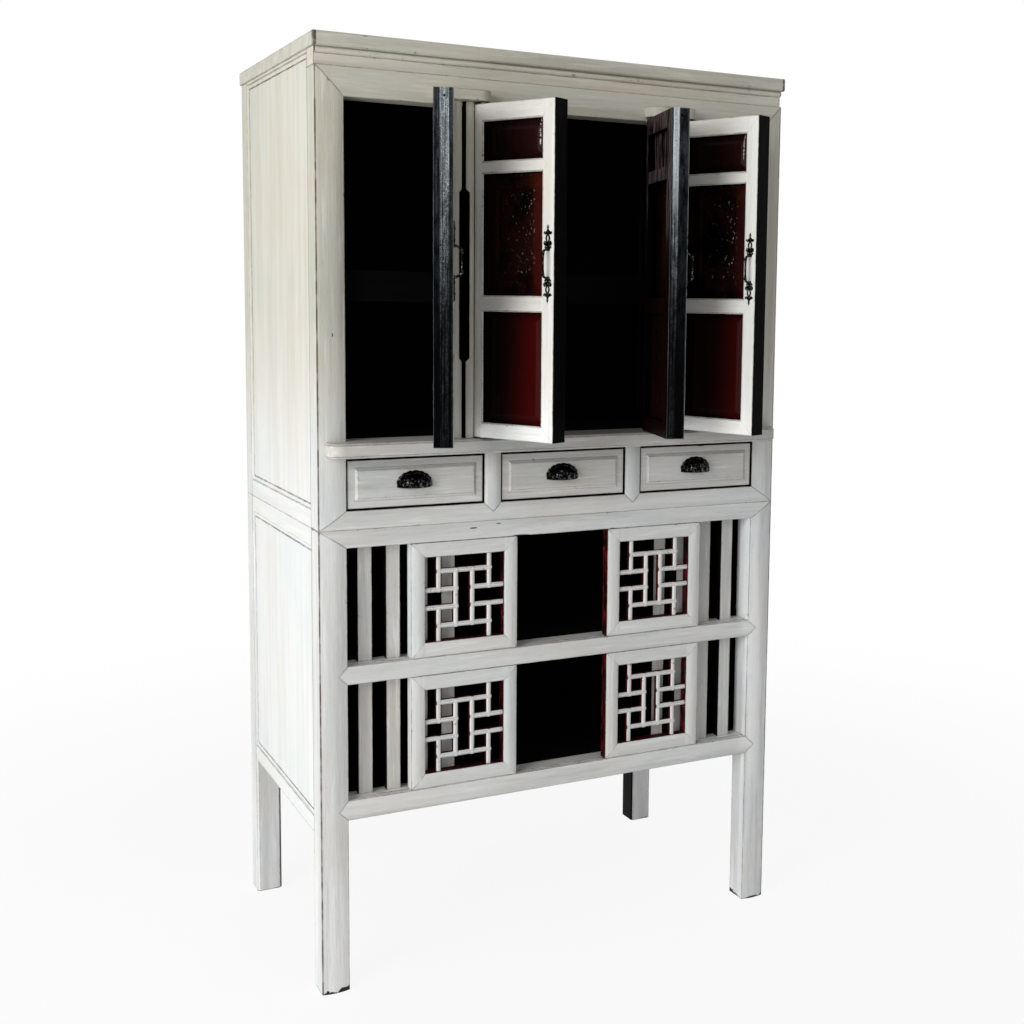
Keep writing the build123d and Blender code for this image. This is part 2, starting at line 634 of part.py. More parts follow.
def leaf_member(hand, outline, soft_u=(), soft_z=()):
    """Member of a door's frame: the door's plan, round at the hinge edge, cut to the member's
    front outline, with the named front edges chamfered."""
    heights = [z for _, z in outline]
    with BuildPart() as member:
        with BuildSketch(Plane.XY.offset(min(heights))) as plan:
            with BuildLine():
                Polyline((0, -LEAF_R), (hand * LEAF_REACH, -LEAF_R), (hand * LEAF_REACH, LEAF_R),
                         (0, LEAF_R))
                ThreePointArc((0, LEAF_R), (-hand * LEAF_R, 0), (0, -LEAF_R))
            make_face()
        extrude(plan.sketch, amount=max(heights) - min(heights))
        front_shape([(hand * u, z) for u, z in outline], -LEAF_R - OVERCUT, LEAF_R + OVERCUT,
                    mode=Mode.INTERSECT)
        on_front = member.edges().filter_by(lambda e: abs(e.center().Y + LEAF_R) < GLUE_LINE)
        soft = [e for u in soft_u for e in on_front if abs(e.center().X - hand * u) < GLUE_LINE]
        soft += [e for z in soft_z for e in on_front if abs(e.center().Z - z) < GLUE_LINE]
        chamfer(soft, length=LEAF_EDGE)
    return member.part


def pivot_dowel(z0, z1):
    """Dowel on the pivot axis."""
    with BuildPart() as dowel:
        with BuildSketch(Plane.XY.offset(z0)):
            Circle(DOWEL_R)
        extrude(amount=z1 - z0)
    return dowel.part


def panel_field(z0, z1, margin, bevel):
    """Raised field of a door panel, before it is set on its board."""
    return raised_field(FIELD_RISE, PANEL_WIDE - 2 * margin, z1 - z0 - 2 * margin, bevel)


def pull_grip(middle):
    """Grip of a door pull: a bar that bows out from the front between its two feet."""
    low = LEAF_Z + PULL_UP
    out = -LEAF_R - PULL_STAND
    base = -LEAF_R - PULL_PLATE - GLUE_LINE
    foot = (GRIP_SPAN + GRIP_THICK) / 2
    flat = GRIP_FLAT / 2
    bow = [(base, foot), (out, flat), (out, -flat), (base, -foot), (base, GRIP_THICK - foot),
           (out + GRIP_THICK, GRIP_THICK / 2 - flat), (out + GRIP_THICK, flat - GRIP_THICK / 2),
           (base, foot - GRIP_THICK)]
    with BuildPart() as grip:
        with BuildSketch(Plane.YZ.offset(middle - GRIP_THICK / 2)):
            with BuildLine():
                Polyline(*[(y, low + z) for y, z in bow], close=True)
            make_face()
        extrude(amount=GRIP_THICK)
        sides = grip.faces().filter_by(Axis.X).edges()
        chamfer(sides.filter_by(lambda e: e.center().Y < base - GLUE_LINE), length=GRIP_EDGE)
    return grip.part


PULL_SHAPE = [
    # half width and height of the plate's outline, from its foot to its tip, as shares
    (0.55, 0.00), (1.00, 0.08), (0.62, 0.17), (0.92, 0.26), (0.70, 0.36), (0.34, 0.44),
    (0.40, 0.56), (0.58, 0.64), (1.00, 0.71), (0.60, 0.79), (0.34, 0.86), (0.00, 1.00),
]

fields = {z0: panel_field(z0, z1, FIELD_MARGIN, FIELD_BEVEL) for z0, z1 in PLAIN_PANELS}
carved_field = panel_field(CARVED_Z, UPPER_CROSS_Z, CARVED_MARGIN, CARVED_BEVEL)

for name, side, hand, angle in LEAVES:
    place = leaf_place(side, hand, angle)

    members = [
        leaf_member(hand, stile_outline(HINGE_IN, HINGE_OUT), soft_u=(HINGE_IN,)),
        leaf_member(hand, stile_outline(FREE_IN, LEAF_REACH), soft_u=(FREE_IN, LEAF_REACH)),
        leaf_member(hand, end_rail_outline(LEAF_TOP, TOP_RAIL_Z), soft_z=(TOP_RAIL_Z,)),
        leaf_member(hand, end_rail_outline(LEAF_Z, LOW_PANEL_Z), soft_z=(LOW_PANEL_Z,)),
    ]
    for z0, z1 in CROSS_RAILS:
        members.append(leaf_member(hand, cross_rail_outline(z0, z1), soft_z=(z0, z1)))
    members.append(pivot_dowel(LEAF_TOP, BLOCK_Z + DOWEL_UP))
    members.append(pivot_dowel(SILL_TOP - SOCKET_DEEP + RUN_GAP, LEAF_Z))
    with BuildPart() as leaf_frame:
        with Locations(place):
            add(members)
    leaf_frame.part.label = f"door_{name}_frame"
    export_step(leaf_frame.part, f"parts/door_{name}_frame.step")

    x0, x1 = sorted((hand * HINGE_IN, hand * FREE_IN))
    panel_x = hand * PANEL_MIDDLE
    with BuildPart() as closed_panels:
        for z0, z1 in PLAIN_PANELS:
            board(x0, x1, PANEL_FACE, PANEL_FACE + LEAF_PANEL, z0, z1)
            with Locations((panel_x, PANEL_FACE, (z0 + z1) / 2)):
                add(fields[z0])
    with BuildPart() as plain_panels:
        with Locations(place):
            add(closed_panels.part)
    plain_panels.part.label = f"door_{name}_plain_panels"
    export_step(plain_panels.part, f"parts/door_{name}_plain_panels.step")

    with BuildPart() as closed_carving:
        board(x0, x1, PANEL_FACE, PANEL_FACE + LEAF_PANEL, CARVED_Z, UPPER_CROSS_Z)
        with Locations((panel_x, PANEL_FACE, (CARVED_Z + UPPER_CROSS_Z) / 2)):
            add(carved_field)
    with BuildPart() as carved_panel:
        with Locations(place):
            add(closed_carving.part)
    carved_panel.part.label = f"door_{name}_carved_panel"
    export_step(carved_panel.part, f"parts/door_{name}_carved_panel.step")

    middle = hand * FREE_MIDDLE
    foot = (GRIP_SPAN - PULL_PLATE_WIDE) / 2
    plate_long = PULL_LONG / 2 - foot
    with BuildPart() as closed_plates:
        for up in (-1, 1):
            right_edge = [(middle + w * PULL_PLATE_WIDE / 2,
                           LEAF_Z + PULL_UP + up * (foot + h * plate_long))
                          for w, h in PULL_SHAPE]
            left_edge = [(2 * middle - x, z) for x, z in right_edge[:-1]]
            front_shape(right_edge + left_edge[::-1], -LEAF_R - PULL_PLATE, -LEAF_R)
    with BuildPart() as pull:
        with Locations(place):
            add([closed_plates.part, pull_grip(middle)])
    pull.part.label = f"door_{name}_pull"
    export_step(pull.part, f"parts/door_{name}_pull.step")

# ------------------------------------------------------------------ sliding lattice doors
SLIDER_WIDE = BAY - SLIDER_PLAY
SLIDER_HIGH = TIER - RUN_GAP - SLIDER_TOP_GAP
SLIDER_FACE = FACE + SLIDER_SET
SLIDER_REAR = SLIDER_FACE + SLIDER_THICK
LATTICE_FACE = SLIDER_FACE + LATTICE_SET
LATTICE_WIDE = SLIDER_WIDE - 2 * SLIDER_FRAME
LATTICE_HIGH = SLIDER_HIGH - 2 * SLIDER_FRAME
A = LATTICE_OUTER
B = LATTICE_INNER
LATTICE_LINES = [
    # fixed line and the stretch along it, as shares of the opening
    (B, A, 1 - A), (1 - B, A, 1 - A), (A, 0, B), (A, 1 - B, 1), (1 - A, 0, B), (1 - A, 1 - B, 1),
]
LATTICE_RAILS = [
    (A, A, 1 - A), (1 - A, A, 1 - A), (B, 0, B), (B, 1 - B, 1), (1 - B, 0, B), (1 - B, 1 - B, 1),
]
SLIDERS = [
    ("lower_left", TIER_1, -SLIDER_REST - SLIDER_WIDE),
    ("lower_right", TIER_1, SLIDER_REST),
    ("upper_left", TIER_2, -SLIDER_REST - SLIDER_WIDE),
    ("upper_right", TIER_2, SLIDER_REST),
]


def lattice_bar(level, line, start, stop, x0, z0):
    """Bevelled bar of the lattice: its foot on the back, its face narrowed by two bevels."""
    half = LATTICE_BAR / 2
    face = half - LATTICE_BEVEL
    shoulder = LATTICE_FACE + LATTICE_BEVEL
    rear = LATTICE_FACE + LATTICE_THICK
    section = [(-half, shoulder), (-half, rear), (half, rear), (half, shoulder),
               (face, LATTICE_FACE), (-face, LATTICE_FACE)]
    if level:
        begin = x0 + start * LATTICE_WIDE - (half if start > 0 else 0)
        end = x0 + stop * LATTICE_WIDE + (half if stop < 1 else 0)
        height = z0 + line * LATTICE_HIGH
        with BuildSketch(Plane.YZ.offset(begin)) as bar:
            with BuildLine():
                Polyline(*[(y, height + across) for across, y in section], close=True)
            make_face()
    else:
        begin = z0 + start * LATTICE_HIGH - (half if start > 0 else 0)
        end = z0 + stop * LATTICE_HIGH + (half if stop < 1 else 0)
        middle = x0 + line * LATTICE_WIDE
        with BuildSketch(Plane.XY.offset(begin)) as bar:
            with BuildLine():
                Polyline(*[(middle + across, y) for across, y in section], close=True)
            make_face()
    extrude(bar.sketch, amount=end - begin)


def mitred_upright(x0, x1, z0, z1, open_side):
    """Stile of a mitred frame; open_side is 1 where the frame's opening lies at its right."""
    with BuildPart() as member:
        crowned_upright(x0, x1, SLIDER_FACE, SLIDER_REAR, z0, z1, crown=SLIDER_CROWN)
        near, far = (x0, x1) if open_side > 0 else (x1, x0)
        corner = SLIDER_FRAME + GLUE_LINE
        front_shape([(near, z0 + GLUE_LINE), (far, z0 + corner), (far, z1 - corner),
                     (near, z1 - GLUE_LINE)], SLIDER_FACE - OVERCUT, SLIDER_REAR, mode=Mode.INTERSECT)
    return member.part


def mitred_level(x0, x1, z0, z1, open_side):
    """Rail of a mitred frame with its tongue; open_side is 1 where the opening lies above."""
    with BuildPart() as member:
        crowned_rail(x0, x1, SLIDER_FACE, SLIDER_REAR, z0, z1, crown=SLIDER_CROWN)
        near, far = (z0, z1) if open_side > 0 else (z1, z0)
        front_shape([(x0, near), (x0 + SLIDER_FRAME, far), (x1 - SLIDER_FRAME, far), (x1, near)],
                    SLIDER_FACE - OVERCUT, SLIDER_REAR, mode=Mode.INTERSECT)
        low, high = sorted((near, near - open_side * TONGUE_HIGH))
        board(x0, x1, GROOVE_Y - TONGUE_THICK / 2, GROOVE_Y + TONGUE_THICK / 2, low, high)
    return member.part


for name, floor, x0 in SLIDERS:
    x1 = x0 + SLIDER_WIDE
    z0 = floor + RUN_GAP
    z1 = z0 + SLIDER_HIGH
    members = [
        mitred_upright(x0, x0 + SLIDER_FRAME, z0, z1, 1),
        mitred_upright(x1 - SLIDER_FRAME, x1, z0, z1, -1),
        mitred_level(x0, x1, z0, z0 + SLIDER_FRAME, 1),
        mitred_level(x0, x1, z1 - SLIDER_FRAME, z1, -1),
    ]
    with BuildPart() as slider_frame:
        add(members)
    slider_frame.part.label = f"slider_{name}_frame"
    export_step(slider_frame.part, f"parts/slider_{name}_frame.step")

    with BuildPart() as lattice:
        for line, start, stop in LATTICE_LINES:
            lattice_bar(False, line, start, stop, x0 + SLIDER_FRAME, z0 + SLIDER_FRAME)
        for line, start, stop in LATTICE_RAILS:
            lattice_bar(True, line, start, stop, x0 + SLIDER_FRAME, z0 + SLIDER_FRAME)
    lattice.part.label = f"slider_{name}_lattice"
    export_step(lattice.part, f"parts/slider_{name}_lattice.step")

# ------------------------------------------------------------------ drawers
FRONT_WIDE = DRAWER_BAY - 2 * FRONT_PLAY
FRONT_FACE = FACE + FRONT_SET
BOX_FRONT = FRONT_FACE + FRONT_THICK
CUP_FACE = FRONT_FACE - FRONT_FIELD_RISE
CUP_R = CUP_WIDE / 2 - CUP_LOBE_R
CUP_DEEP = CUP_OUT - CUP_PLATE
CUP_SKIRT = CUP_HIGH - CUP_LOBE_R - CUP_DEEP     # straight lip under the round of the hood


def half_round(wide, deep):
    """Points of a faceted half ellipse, from right to left."""
    turns = [radians(180 * i / CUP_FACETS) for i in range(CUP_FACETS + 1)]
    return [(wide * cos(turn), deep * sin(turn)) for turn in turns]


def hood_points(wide, deep, low, back):
    """Corners of a faceted hood: tiers that turn up and back over a straight lip."""
    points = [(x, -y, low) for x, y in half_round(wide, deep)]
    for x, y in half_round(wide, deep):
        for tier in range(CUP_TIERS + 1):
            lift = radians(90 * tier / CUP_TIERS)
            points.append((x, -y * cos(lift), y * sin(lift)))
    return points + [(x, back, z) for x, y, z in points if abs(y) < GLUE_LINE]


def cup_hood():
    """Hood of a cup pull: a cast shell, open at its foot and back."""
    with BuildPart() as hood:
        ConvexPolyhedron(hood_points(CUP_R, CUP_DEEP, -CUP_SKIRT, 0))
        ConvexPolyhedron(
            hood_points(CUP_R - CUP_WALL, CUP_DEEP - CUP_WALL, -CUP_SKIRT - OVERCUT, OVERCUT),
            mode=Mode.SUBTRACT,
        )
    return hood.part


HOOD = cup_hood()
FRONT_FIELD_FOOT = FRONT_FIELD_MARGIN - FRONT_FIELD_BEVEL
FRONT_FIELD = raised_field(FRONT_FIELD_RISE, FRONT_WIDE - 2 * FRONT_FIELD_FOOT,
                           FRONT_HIGH - 2 * FRONT_FIELD_FOOT, FRONT_FIELD_BEVEL)

for name, x in zip(("left", "middle", "right"), DRAWER_MIDDLES):
    front_z = DRAWER_Z + FRONT_LIFT

    with BuildPart() as drawer_front:
        board(x - FRONT_WIDE / 2, x + FRONT_WIDE / 2, FRONT_FACE, BOX_FRONT,
              front_z, front_z + FRONT_HIGH)
        with Locations((x, FRONT_FACE, front_z + FRONT_HIGH / 2)):
            add(FRONT_FIELD)
    drawer_front.part.label = f"drawer_{name}_front"
    export_step(drawer_front.part, f"parts/drawer_{name}_front.step")

    with BuildPart() as drawer_box:
        x0 = x - DRAWER_BAY / 2 + BOX_PLAY
        x1 = x + DRAWER_BAY / 2 - BOX_PLAY
        z0 = DRAWER_Z + RUN_GAP
        rear = BOX_FRONT + BOX_LONG
        hair = GLUE_LINE
        board(x0, x0 + BOX_SIDE, BOX_FRONT, rear, z0, z0 + BOX_HIGH)
        board(x1 - BOX_SIDE, x1, BOX_FRONT, rear, z0, z0 + BOX_HIGH)
        bottom_z = z0 + BOX_BOTTOM_LIFT
        board(x0 + BOX_SIDE + hair, x1 - BOX_SIDE - hair, rear - BOX_SIDE, rear,
              bottom_z, z0 + BOX_HIGH)
        board(x0 + BOX_SIDE + hair, x1 - BOX_SIDE - hair, BOX_FRONT, rear - BOX_SIDE - hair,
              bottom_z, bottom_z + BOX_BOTTOM)
    drawer_box.part.label = f"drawer_{name}_box"
    export_step(drawer_box.part, f"parts/drawer_{name}_box.step")

    with BuildPart() as cup_pull:
        cup_x = x + CUP_SHIFT
        cup_z = DRAWER_Z + CUP_UP
        round_z = cup_z + CUP_SKIRT
        rim = [(cup_x + u, round_z + v) for u, v in half_round(CUP_R, CUP_DEEP)]
        turns = [radians(180 * i / (CUP_LOBES - 1)) for i in range(CUP_LOBES)]
        with BuildSketch(Plane.XZ.offset(-CUP_FACE)):
            with BuildLine():
                Polyline((cup_x + CUP_R, cup_z), *rim, (cup_x - CUP_R, cup_z), close=True)
            make_face()
            with Locations(*[(cup_x + CUP_R * cos(t), round_z + CUP_DEEP * sin(t)) for t in turns]):
                RegularPolygon(radius=CUP_LOBE_R, side_count=10)
        extrude(amount=CUP_PLATE)
        with Locations((cup_x, CUP_FACE - CUP_PLATE, round_z)):
            add(HOOD)
    cup_pull.part.label = f"drawer_{name}_pull"
    export_step(cup_pull.part, f"parts/drawer_{name}_pull.step")

# ------------------------------------------------------------------ the fixed carcass
CARCASS = {
    "lower_posts_front": lower_posts_front,
    "lower_posts_back": lower_posts_back,
    "lower_top_rail": lower_top_rail,
    "lower_middle_rail": lower_middle_rail,
    "lower_bottom_rail": lower_bottom_rail,
    "lower_side_rails": lower_side_rails,
    "lower_side_panels": lower_side_panels,
    "lower_back": lower_back,
    "lower_slats": lower_slats,
    "lower_shelves": lower_shelves,
    "upper_posts_front": upper_posts_front,
    "upper_posts_back": upper_posts_back,
    "upper_top_rail": upper_top_rail,
    "upper_bottom_rail": upper_bottom_rail,
    "upper_side_rails": upper_side_rails,
    "upper_side_panels": upper_side_panels,
    "upper_back": upper_back,
    "cornice_frieze": cornice_frieze,
    "top_board": top_board,
    "sill": sill,
    "pivot_blocks": pivot_blocks,
    "pivot_posts": pivot_posts,
    "drawer_dividers": drawer_dividers,
    "drawer_deck": drawer_deck,
    "cupboard_floor": cupboard_floor,
    "shelf": shelf,
}
for label, piece in CARCASS.items():
    piece.part.label = label
    export_step(piece.part, f"parts/{label}.step")
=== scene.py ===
"""Paint, lacquer, carving and iron of a whitewashed two-part kitchen cupboard.

The solids come from the fixed frame. This script dresses them, and adds the pieces whose form is
finer than theirs: the carved door panels, the cast bar pulls and the cast cup pulls.
Metres, X to the right, Y to the back, Z up, floor at Z = 0.
"""

import logging
import math
import random
from dataclasses import dataclass
from enum import Enum
from itertools import product
from typing import Callable, Optional, Sequence, Union

import bmesh
import bpy
import numpy as np
from mathutils import Matrix, Vector


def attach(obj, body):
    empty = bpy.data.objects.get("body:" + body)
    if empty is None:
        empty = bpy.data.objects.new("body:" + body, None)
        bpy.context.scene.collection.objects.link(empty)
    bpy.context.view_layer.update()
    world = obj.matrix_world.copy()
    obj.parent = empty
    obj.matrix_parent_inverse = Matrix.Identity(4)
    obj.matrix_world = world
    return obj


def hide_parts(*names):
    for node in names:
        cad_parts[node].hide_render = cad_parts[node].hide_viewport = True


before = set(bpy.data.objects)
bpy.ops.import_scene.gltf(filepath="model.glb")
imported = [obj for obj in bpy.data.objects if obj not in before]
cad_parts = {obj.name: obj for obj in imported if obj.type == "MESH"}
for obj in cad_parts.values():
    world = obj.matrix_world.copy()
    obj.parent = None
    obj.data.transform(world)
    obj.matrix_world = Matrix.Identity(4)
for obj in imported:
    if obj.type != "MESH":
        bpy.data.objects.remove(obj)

LOG = logging.getLogger("cupboard")

Colour = tuple[float, float, float, float]
Socket = bpy.types.NodeSocket
Value = Union[float, Socket]
Tint = Union[Socket, Colour]
Streaks = tuple[Socket, Socket, Socket]     # wide patches, streaks and hair-fine scratches

RIGHT, LEFT = (1, 0, 0), (-1, 0, 0)
BACK, AHEAD = (0, 1, 0), (0, -1, 0)
UP = (0, 0, 1)

# ---------------------------------------------------------------- sizes shared by several pieces
DEPTH = 0.605               # posts' front faces to their back faces
OUTER = 0.530               # half width over the posts
POST = 0.056
INNER = OUTER - POST        # half width between the posts
BAY = INNER / 2             # middle of the cupboard to the middle of a pivot post
PIVOT_POST = 0.044
PIVOT_OUT = 0.020           # pivot axis in front of the posts
PIVOT_OFF = 0.0415          # pivot axis from the middle of its pivot post
LEAF_R = 0.0185             # half a door's thickness, and the round of its hinge edge
LEAF_Z = 1.125
LEAF_TOP = 1.785
LEAF_REACH = 0.1935         # pivot axis to the free edge
FREE_MIDDLE = 0.1775        # pivot axis to the middle of the free stile
HINGE_IN = 0.0135           # pivot axis to the panels
FREE_IN = 0.1615            # and to their far side
CARVED = (1.410, 1.648)     # foot and top of the carved panels
OPEN = {"a": 68.5, "b": 63.0, "c": 75.5, "d": 68.0}     # how far each door stands open
OPEN_REACH = max(PIVOT_OUT + LEAF_REACH * math.sin(math.radians(angle))
                 + LEAF_R * math.cos(math.radians(angle)) for angle in OPEN.values())
FACE = (OPEN_REACH - DEPTH) / 2     # front of the posts' crowns
FRAME_BACK = FACE + POST
PIVOT_Y = FACE - PIVOT_OUT
LEG_TOP = 0.324             # underside of the lowest side rail
DRAWER_Z = 0.984            # opening of the drawers
DRAWER_TOP = 1.092
DRAWER_PITCH = 0.328333     # middle of one drawer to the next
SLIDER_IN = 0.107           # middle of the cupboard to a sliding door
SLIDER_WIDE = 0.234


def tone(red: float, green: float, blue: float) -> Colour:
    """Turns a display colour into the linear one that shaders take.

    Args:
        red: 0 to 255.
        green: 0 to 255.
        blue: 0 to 255.

    Returns:
        Linear red, green, blue and an alpha of 1.
    """
    parts = []
    for level in (red, green, blue):
        share = level / 255
        parts.append(share / 12.92 if share <= 0.04045 else ((share + 0.055) / 1.055) ** 2.4)
    return (parts[0], parts[1], parts[2], 1.0)


# ------------------------------------------------------------------------------ node materials
class Paintwork:
    """A node material while it is being mixed."""

    def __init__(self, name: str) -> None:
        """Starts a material with a bare surface shader.

        Args:
            name: the material's name.
        """
        self.material = bpy.data.materials.new(name)
        self.material.use_nodes = True
        tree = self.material.node_tree
        self.nodes = tree.nodes
        self.links = tree.links
        self.shader = self.nodes["Principled BSDF"]
        place = self.nodes.new("ShaderNodeTexCoord")
        self.position: Socket = place.outputs["Object"]
        self.normal: Socket = place.outputs["Normal"]

    def feed(self, socket: Socket, value: Union[Value, Sequence[float]]) -> None:
        """Links a socket or sets its own value.

        Args:
            socket: input to feed.
            value: output to link to it, or a constant.
        """
        if isinstance(value, bpy.types.NodeSocket):
            self.links.new(value, socket)
        else:
            socket.default_value = value

    def sums(self, operation: str, first: Value, second: Value = 0.0) -> Socket:
        """One arithmetic step.

        Args:
            operation: its name, as the math node has it.
            first: first value.
            second: second value.

        Returns:
            The result, not held between 0 and 1.
        """
        node = self.nodes.new("ShaderNodeMath")
        node.operation = operation
        self.feed(node.inputs[0], first)
        self.feed(node.inputs[1], second)
        return node.outputs[0]

    def plus(self, first: Value, second: Value) -> Socket:
        """Sum of two values."""
        return self.sums("ADD", first, second)

    def less(self, first: Value, second: Value) -> Socket:
        """First value less the second."""
        return self.sums("SUBTRACT", first, second)

    def times(self, first: Value, second: Value) -> Socket:
        """Product of two values."""
        return self.sums("MULTIPLY", first, second)

    def most(self, first: Value, second: Value) -> Socket:
        """Greater of two values."""
        return self.sums("MAXIMUM", first, second)

    def off(self, value: Value, middle: float = 0.0) -> Socket:
        """How far a value lies from a middle one, on either side."""
        return self.sums("ABSOLUTE", self.less(value, middle) if middle else value)

    def step(self, value: Value, low: float, high: float) -> Socket:
        """Smooth rise from 0 at low to 1 at high.

        Args:
            value: what rises.
            low: where the result is 0; it may be the greater one.
            high: where the result is 1.

        Returns:
            The share, from 0 to 1.
        """
        node = self.nodes.new("ShaderNodeMapRange")
        node.interpolation_type = "SMOOTHSTEP"
        turned = low > high
        self.feed(node.inputs["Value"], value)
        node.inputs["From Min"].default_value = min(low, high)
        node.inputs["From Max"].default_value = max(low, high)
        node.inputs["To Min"].default_value = 1.0 if turned else 0.0
        node.inputs["To Max"].default_value = 0.0 if turned else 1.0
        return node.outputs["Result"]

    def blend(self, share: Value, first: Tint, second: Tint, way: str = "MIX") -> Socket:
        """Colour between two others.

        Args:
            share: 0 for the first colour, 1 for the second.
            first: first colour.
            second: second colour.
            way: the mix node's blend type.

        Returns:
            The colour.
        """
        node = self.nodes.new("ShaderNodeMix")
        node.data_type = "RGBA"
        node.blend_type = way
        self.feed(node.inputs[0], share)
        self.feed(node.inputs[6], first)
        self.feed(node.inputs[7], second)
        return node.outputs[2]

    def tint(self, share: Value, colour: Tint, by: Colour) -> Socket:
        """Colour multiplied by another, by a share."""
        return self.blend(share, colour, by, "MULTIPLY")

    def between(self, share: Value, first: Value, second: Value) -> Socket:
        """Value between two others.

        Args:
            share: 0 for the first value, 1 for the second.
            first: first value.
            second: second value.

        Returns:
            The value.
        """
        node = self.nodes.new("ShaderNodeMix")
        self.feed(node.inputs[0], share)
        self.feed(node.inputs[2], first)
        self.feed(node.inputs[3], second)
        return node.outputs[0]

    def along(self, vector: Socket, direction: Sequence[float], start: Sequence[float] = (0, 0, 0)) -> Socket:
        """Length of a vector along a direction.

        Args:
            vector: place or normal.
            direction: direction of length 1.
            start: point to measure from.

        Returns:
            The length.
        """
        moved = self.nodes.new("ShaderNodeVectorMath")
        moved.operation = "SUBTRACT"
        self.feed(moved.inputs[0], vector)
        moved.inputs[1].default_value = tuple(start)
        node = self.nodes.new("ShaderNodeVectorMath")
        node.operation = "DOT_PRODUCT"
        self.links.new(moved.outputs[0], node.inputs[0])
        node.inputs[1].default_value = tuple(direction)
        return node.outputs["Value"]

    def across(self) -> Socket:
        """Place to the right of the cupboard's middle."""
        return self.along(self.position, RIGHT)

    def deep(self) -> Socket:
        """Place behind the cupboard's middle."""
        return self.along(self.position, BACK)

    def height(self) -> Socket:
        """Place above the floor."""
        return self.along(self.position, UP)

    def ahead(self) -> Socket:
        """1 on faces that look forwards, -1 on those that look back."""
        return self.along(self.normal, AHEAD)

    def stretched(self, scale: Sequence[float], shift: Sequence[float] = (0, 0, 0)) -> Socket:
        """Position with its axes scaled, so that a texture can run along a grain.

        Args:
            scale: scale of each axis.
            shift: moves the scaled position.

        Returns:
            The position.
        """
        node = self.nodes.new("ShaderNodeMapping")
        self.links.new(self.position, node.inputs["Vector"])
        node.inputs["Scale"].default_value = tuple(scale)
        node.inputs["Location"].default_value = tuple(shift)
        return node.outputs[0]

    def noise(self, vector: Socket, scale: float = 1.0, detail: float = 4.0, rough: float = 0.55) -> Socket:
        """Cloudy noise.

        Args:
            vector: where it is read.
            scale: clouds per metre.
            detail: how many finer layers it has.
            rough: strength of those layers.

        Returns:
            The noise, from 0 to 1.
        """
        node = self.nodes.new("ShaderNodeTexNoise")
        self.links.new(vector, node.inputs["Vector"])
        node.inputs["Scale"].default_value = scale
        node.inputs["Detail"].default_value = detail
        node.inputs["Roughness"].default_value = rough
        return node.outputs[0]

    def arris(self, radius: float, low: float, high: float) -> Socket:
        """Marks a piece's edges and corners.

        Args:
            radius: how far from an edge the mark may reach.
            low: turn of the rounded normal at which the mark starts.
            high: turn at which it is full.

        Returns:
            1 on the edges, fading to 0 beside them.
        """
        bevel = self.nodes.new("ShaderNodeBevel")
        bevel.samples = 4
        bevel.inputs["Radius"].default_value = radius
        surface = self.nodes.new("ShaderNodeNewGeometry")
        node = self.nodes.new("ShaderNodeVectorMath")
        node.operation = "DOT_PRODUCT"
        self.links.new(bevel.outputs[0], node.inputs[0])
        self.links.new(surface.outputs["Normal"], node.inputs[1])
        return self.step(self.less(1.0, node.outputs["Value"]), low, high)

    def relief(self, height: Socket, depth: float, strength: float) -> None:
        """Bumps the surface by a height map.

        Args:
            height: height map.
            depth: metres that it stands for.
            strength: how much of it shows.
        """
        node = self.nodes.new("ShaderNodeBump")
        node.inputs["Strength"].default_value = strength
        node.inputs["Distance"].default_value = depth
        self.links.new(height, node.inputs["Height"])
        self.links.new(node.outputs[0], self.shader.inputs["Normal"])

    def gloss(self, level: Value, plain: float = 0.05) -> None:
        """Sets the strength of the surface's gloss.

        Args:
            level: the strength, a constant or an output.
            plain: number for a reader that takes only numbers, where level is an output.
        """
        socket = self.shader.inputs["Specular IOR Level"]
        self.feed(socket, level)
        socket.default_value = plain if socket.is_linked else socket.default_value

    def finish(self, colour: Tint, roughness: Value) -> bpy.types.Material:
        """Feeds the last two inputs of the surface.

        Args:
            colour: its colour.
            roughness: its roughness.

        Returns:
            The finished material.
        """
        self.feed(self.shader.inputs["Base Color"], colour)
        self.feed(self.shader.inputs["Roughness"], roughness)
        return self.material


class Grain(Enum):
    """Way in which the wood's grain and the brush strokes run."""

    UP = (1.0, 1.0, 0.055)
    ACROSS = (0.055, 1.0, 1.0)
    LEVEL = (0.055, 0.055, 1.0)     # level, in a door that stands at an angle
    DEEP = (1.0, 0.055, 1.0)


class Bare(Enum):
    """Faces that the whitewash leaves dark."""

    NOWHERE = "painted all over"
    # BEHIND also darkens the drawer reveals as painted shade, and SLOTS the pivot posts' slots.
    BEHIND = "behind the face frame"
    INNER_SIDES = "the sides' inner faces"
    BACK_POSTS = "the back posts' faces towards the inside"
    OFF_FRONT = "all but the front"
    SLOTS = "the slots of the pivot posts"


@dataclass(frozen=True)
class Chip:
    """A spot on the front where the paint has come off: a ragged ellipse."""

    across: float
    up: float
    half_wide: float
    half_high: float


CHIPS = (Chip(-0.474, -0.001, 0.026, 0.0125), Chip(0.503, -0.001, 0.019, 0.0050),
         Chip(-0.100, 0.9110, 0.022, 0.0020), Chip(-0.2071, 0.9341, 0.0075, 0.0012),
         Chip(-0.1515, 0.9398, 0.0055, 0.0008), Chip(0.340, 1.0835, 0.010, 0.0018),
         Chip(-0.500, 1.3300, 0.0012, 0.005))


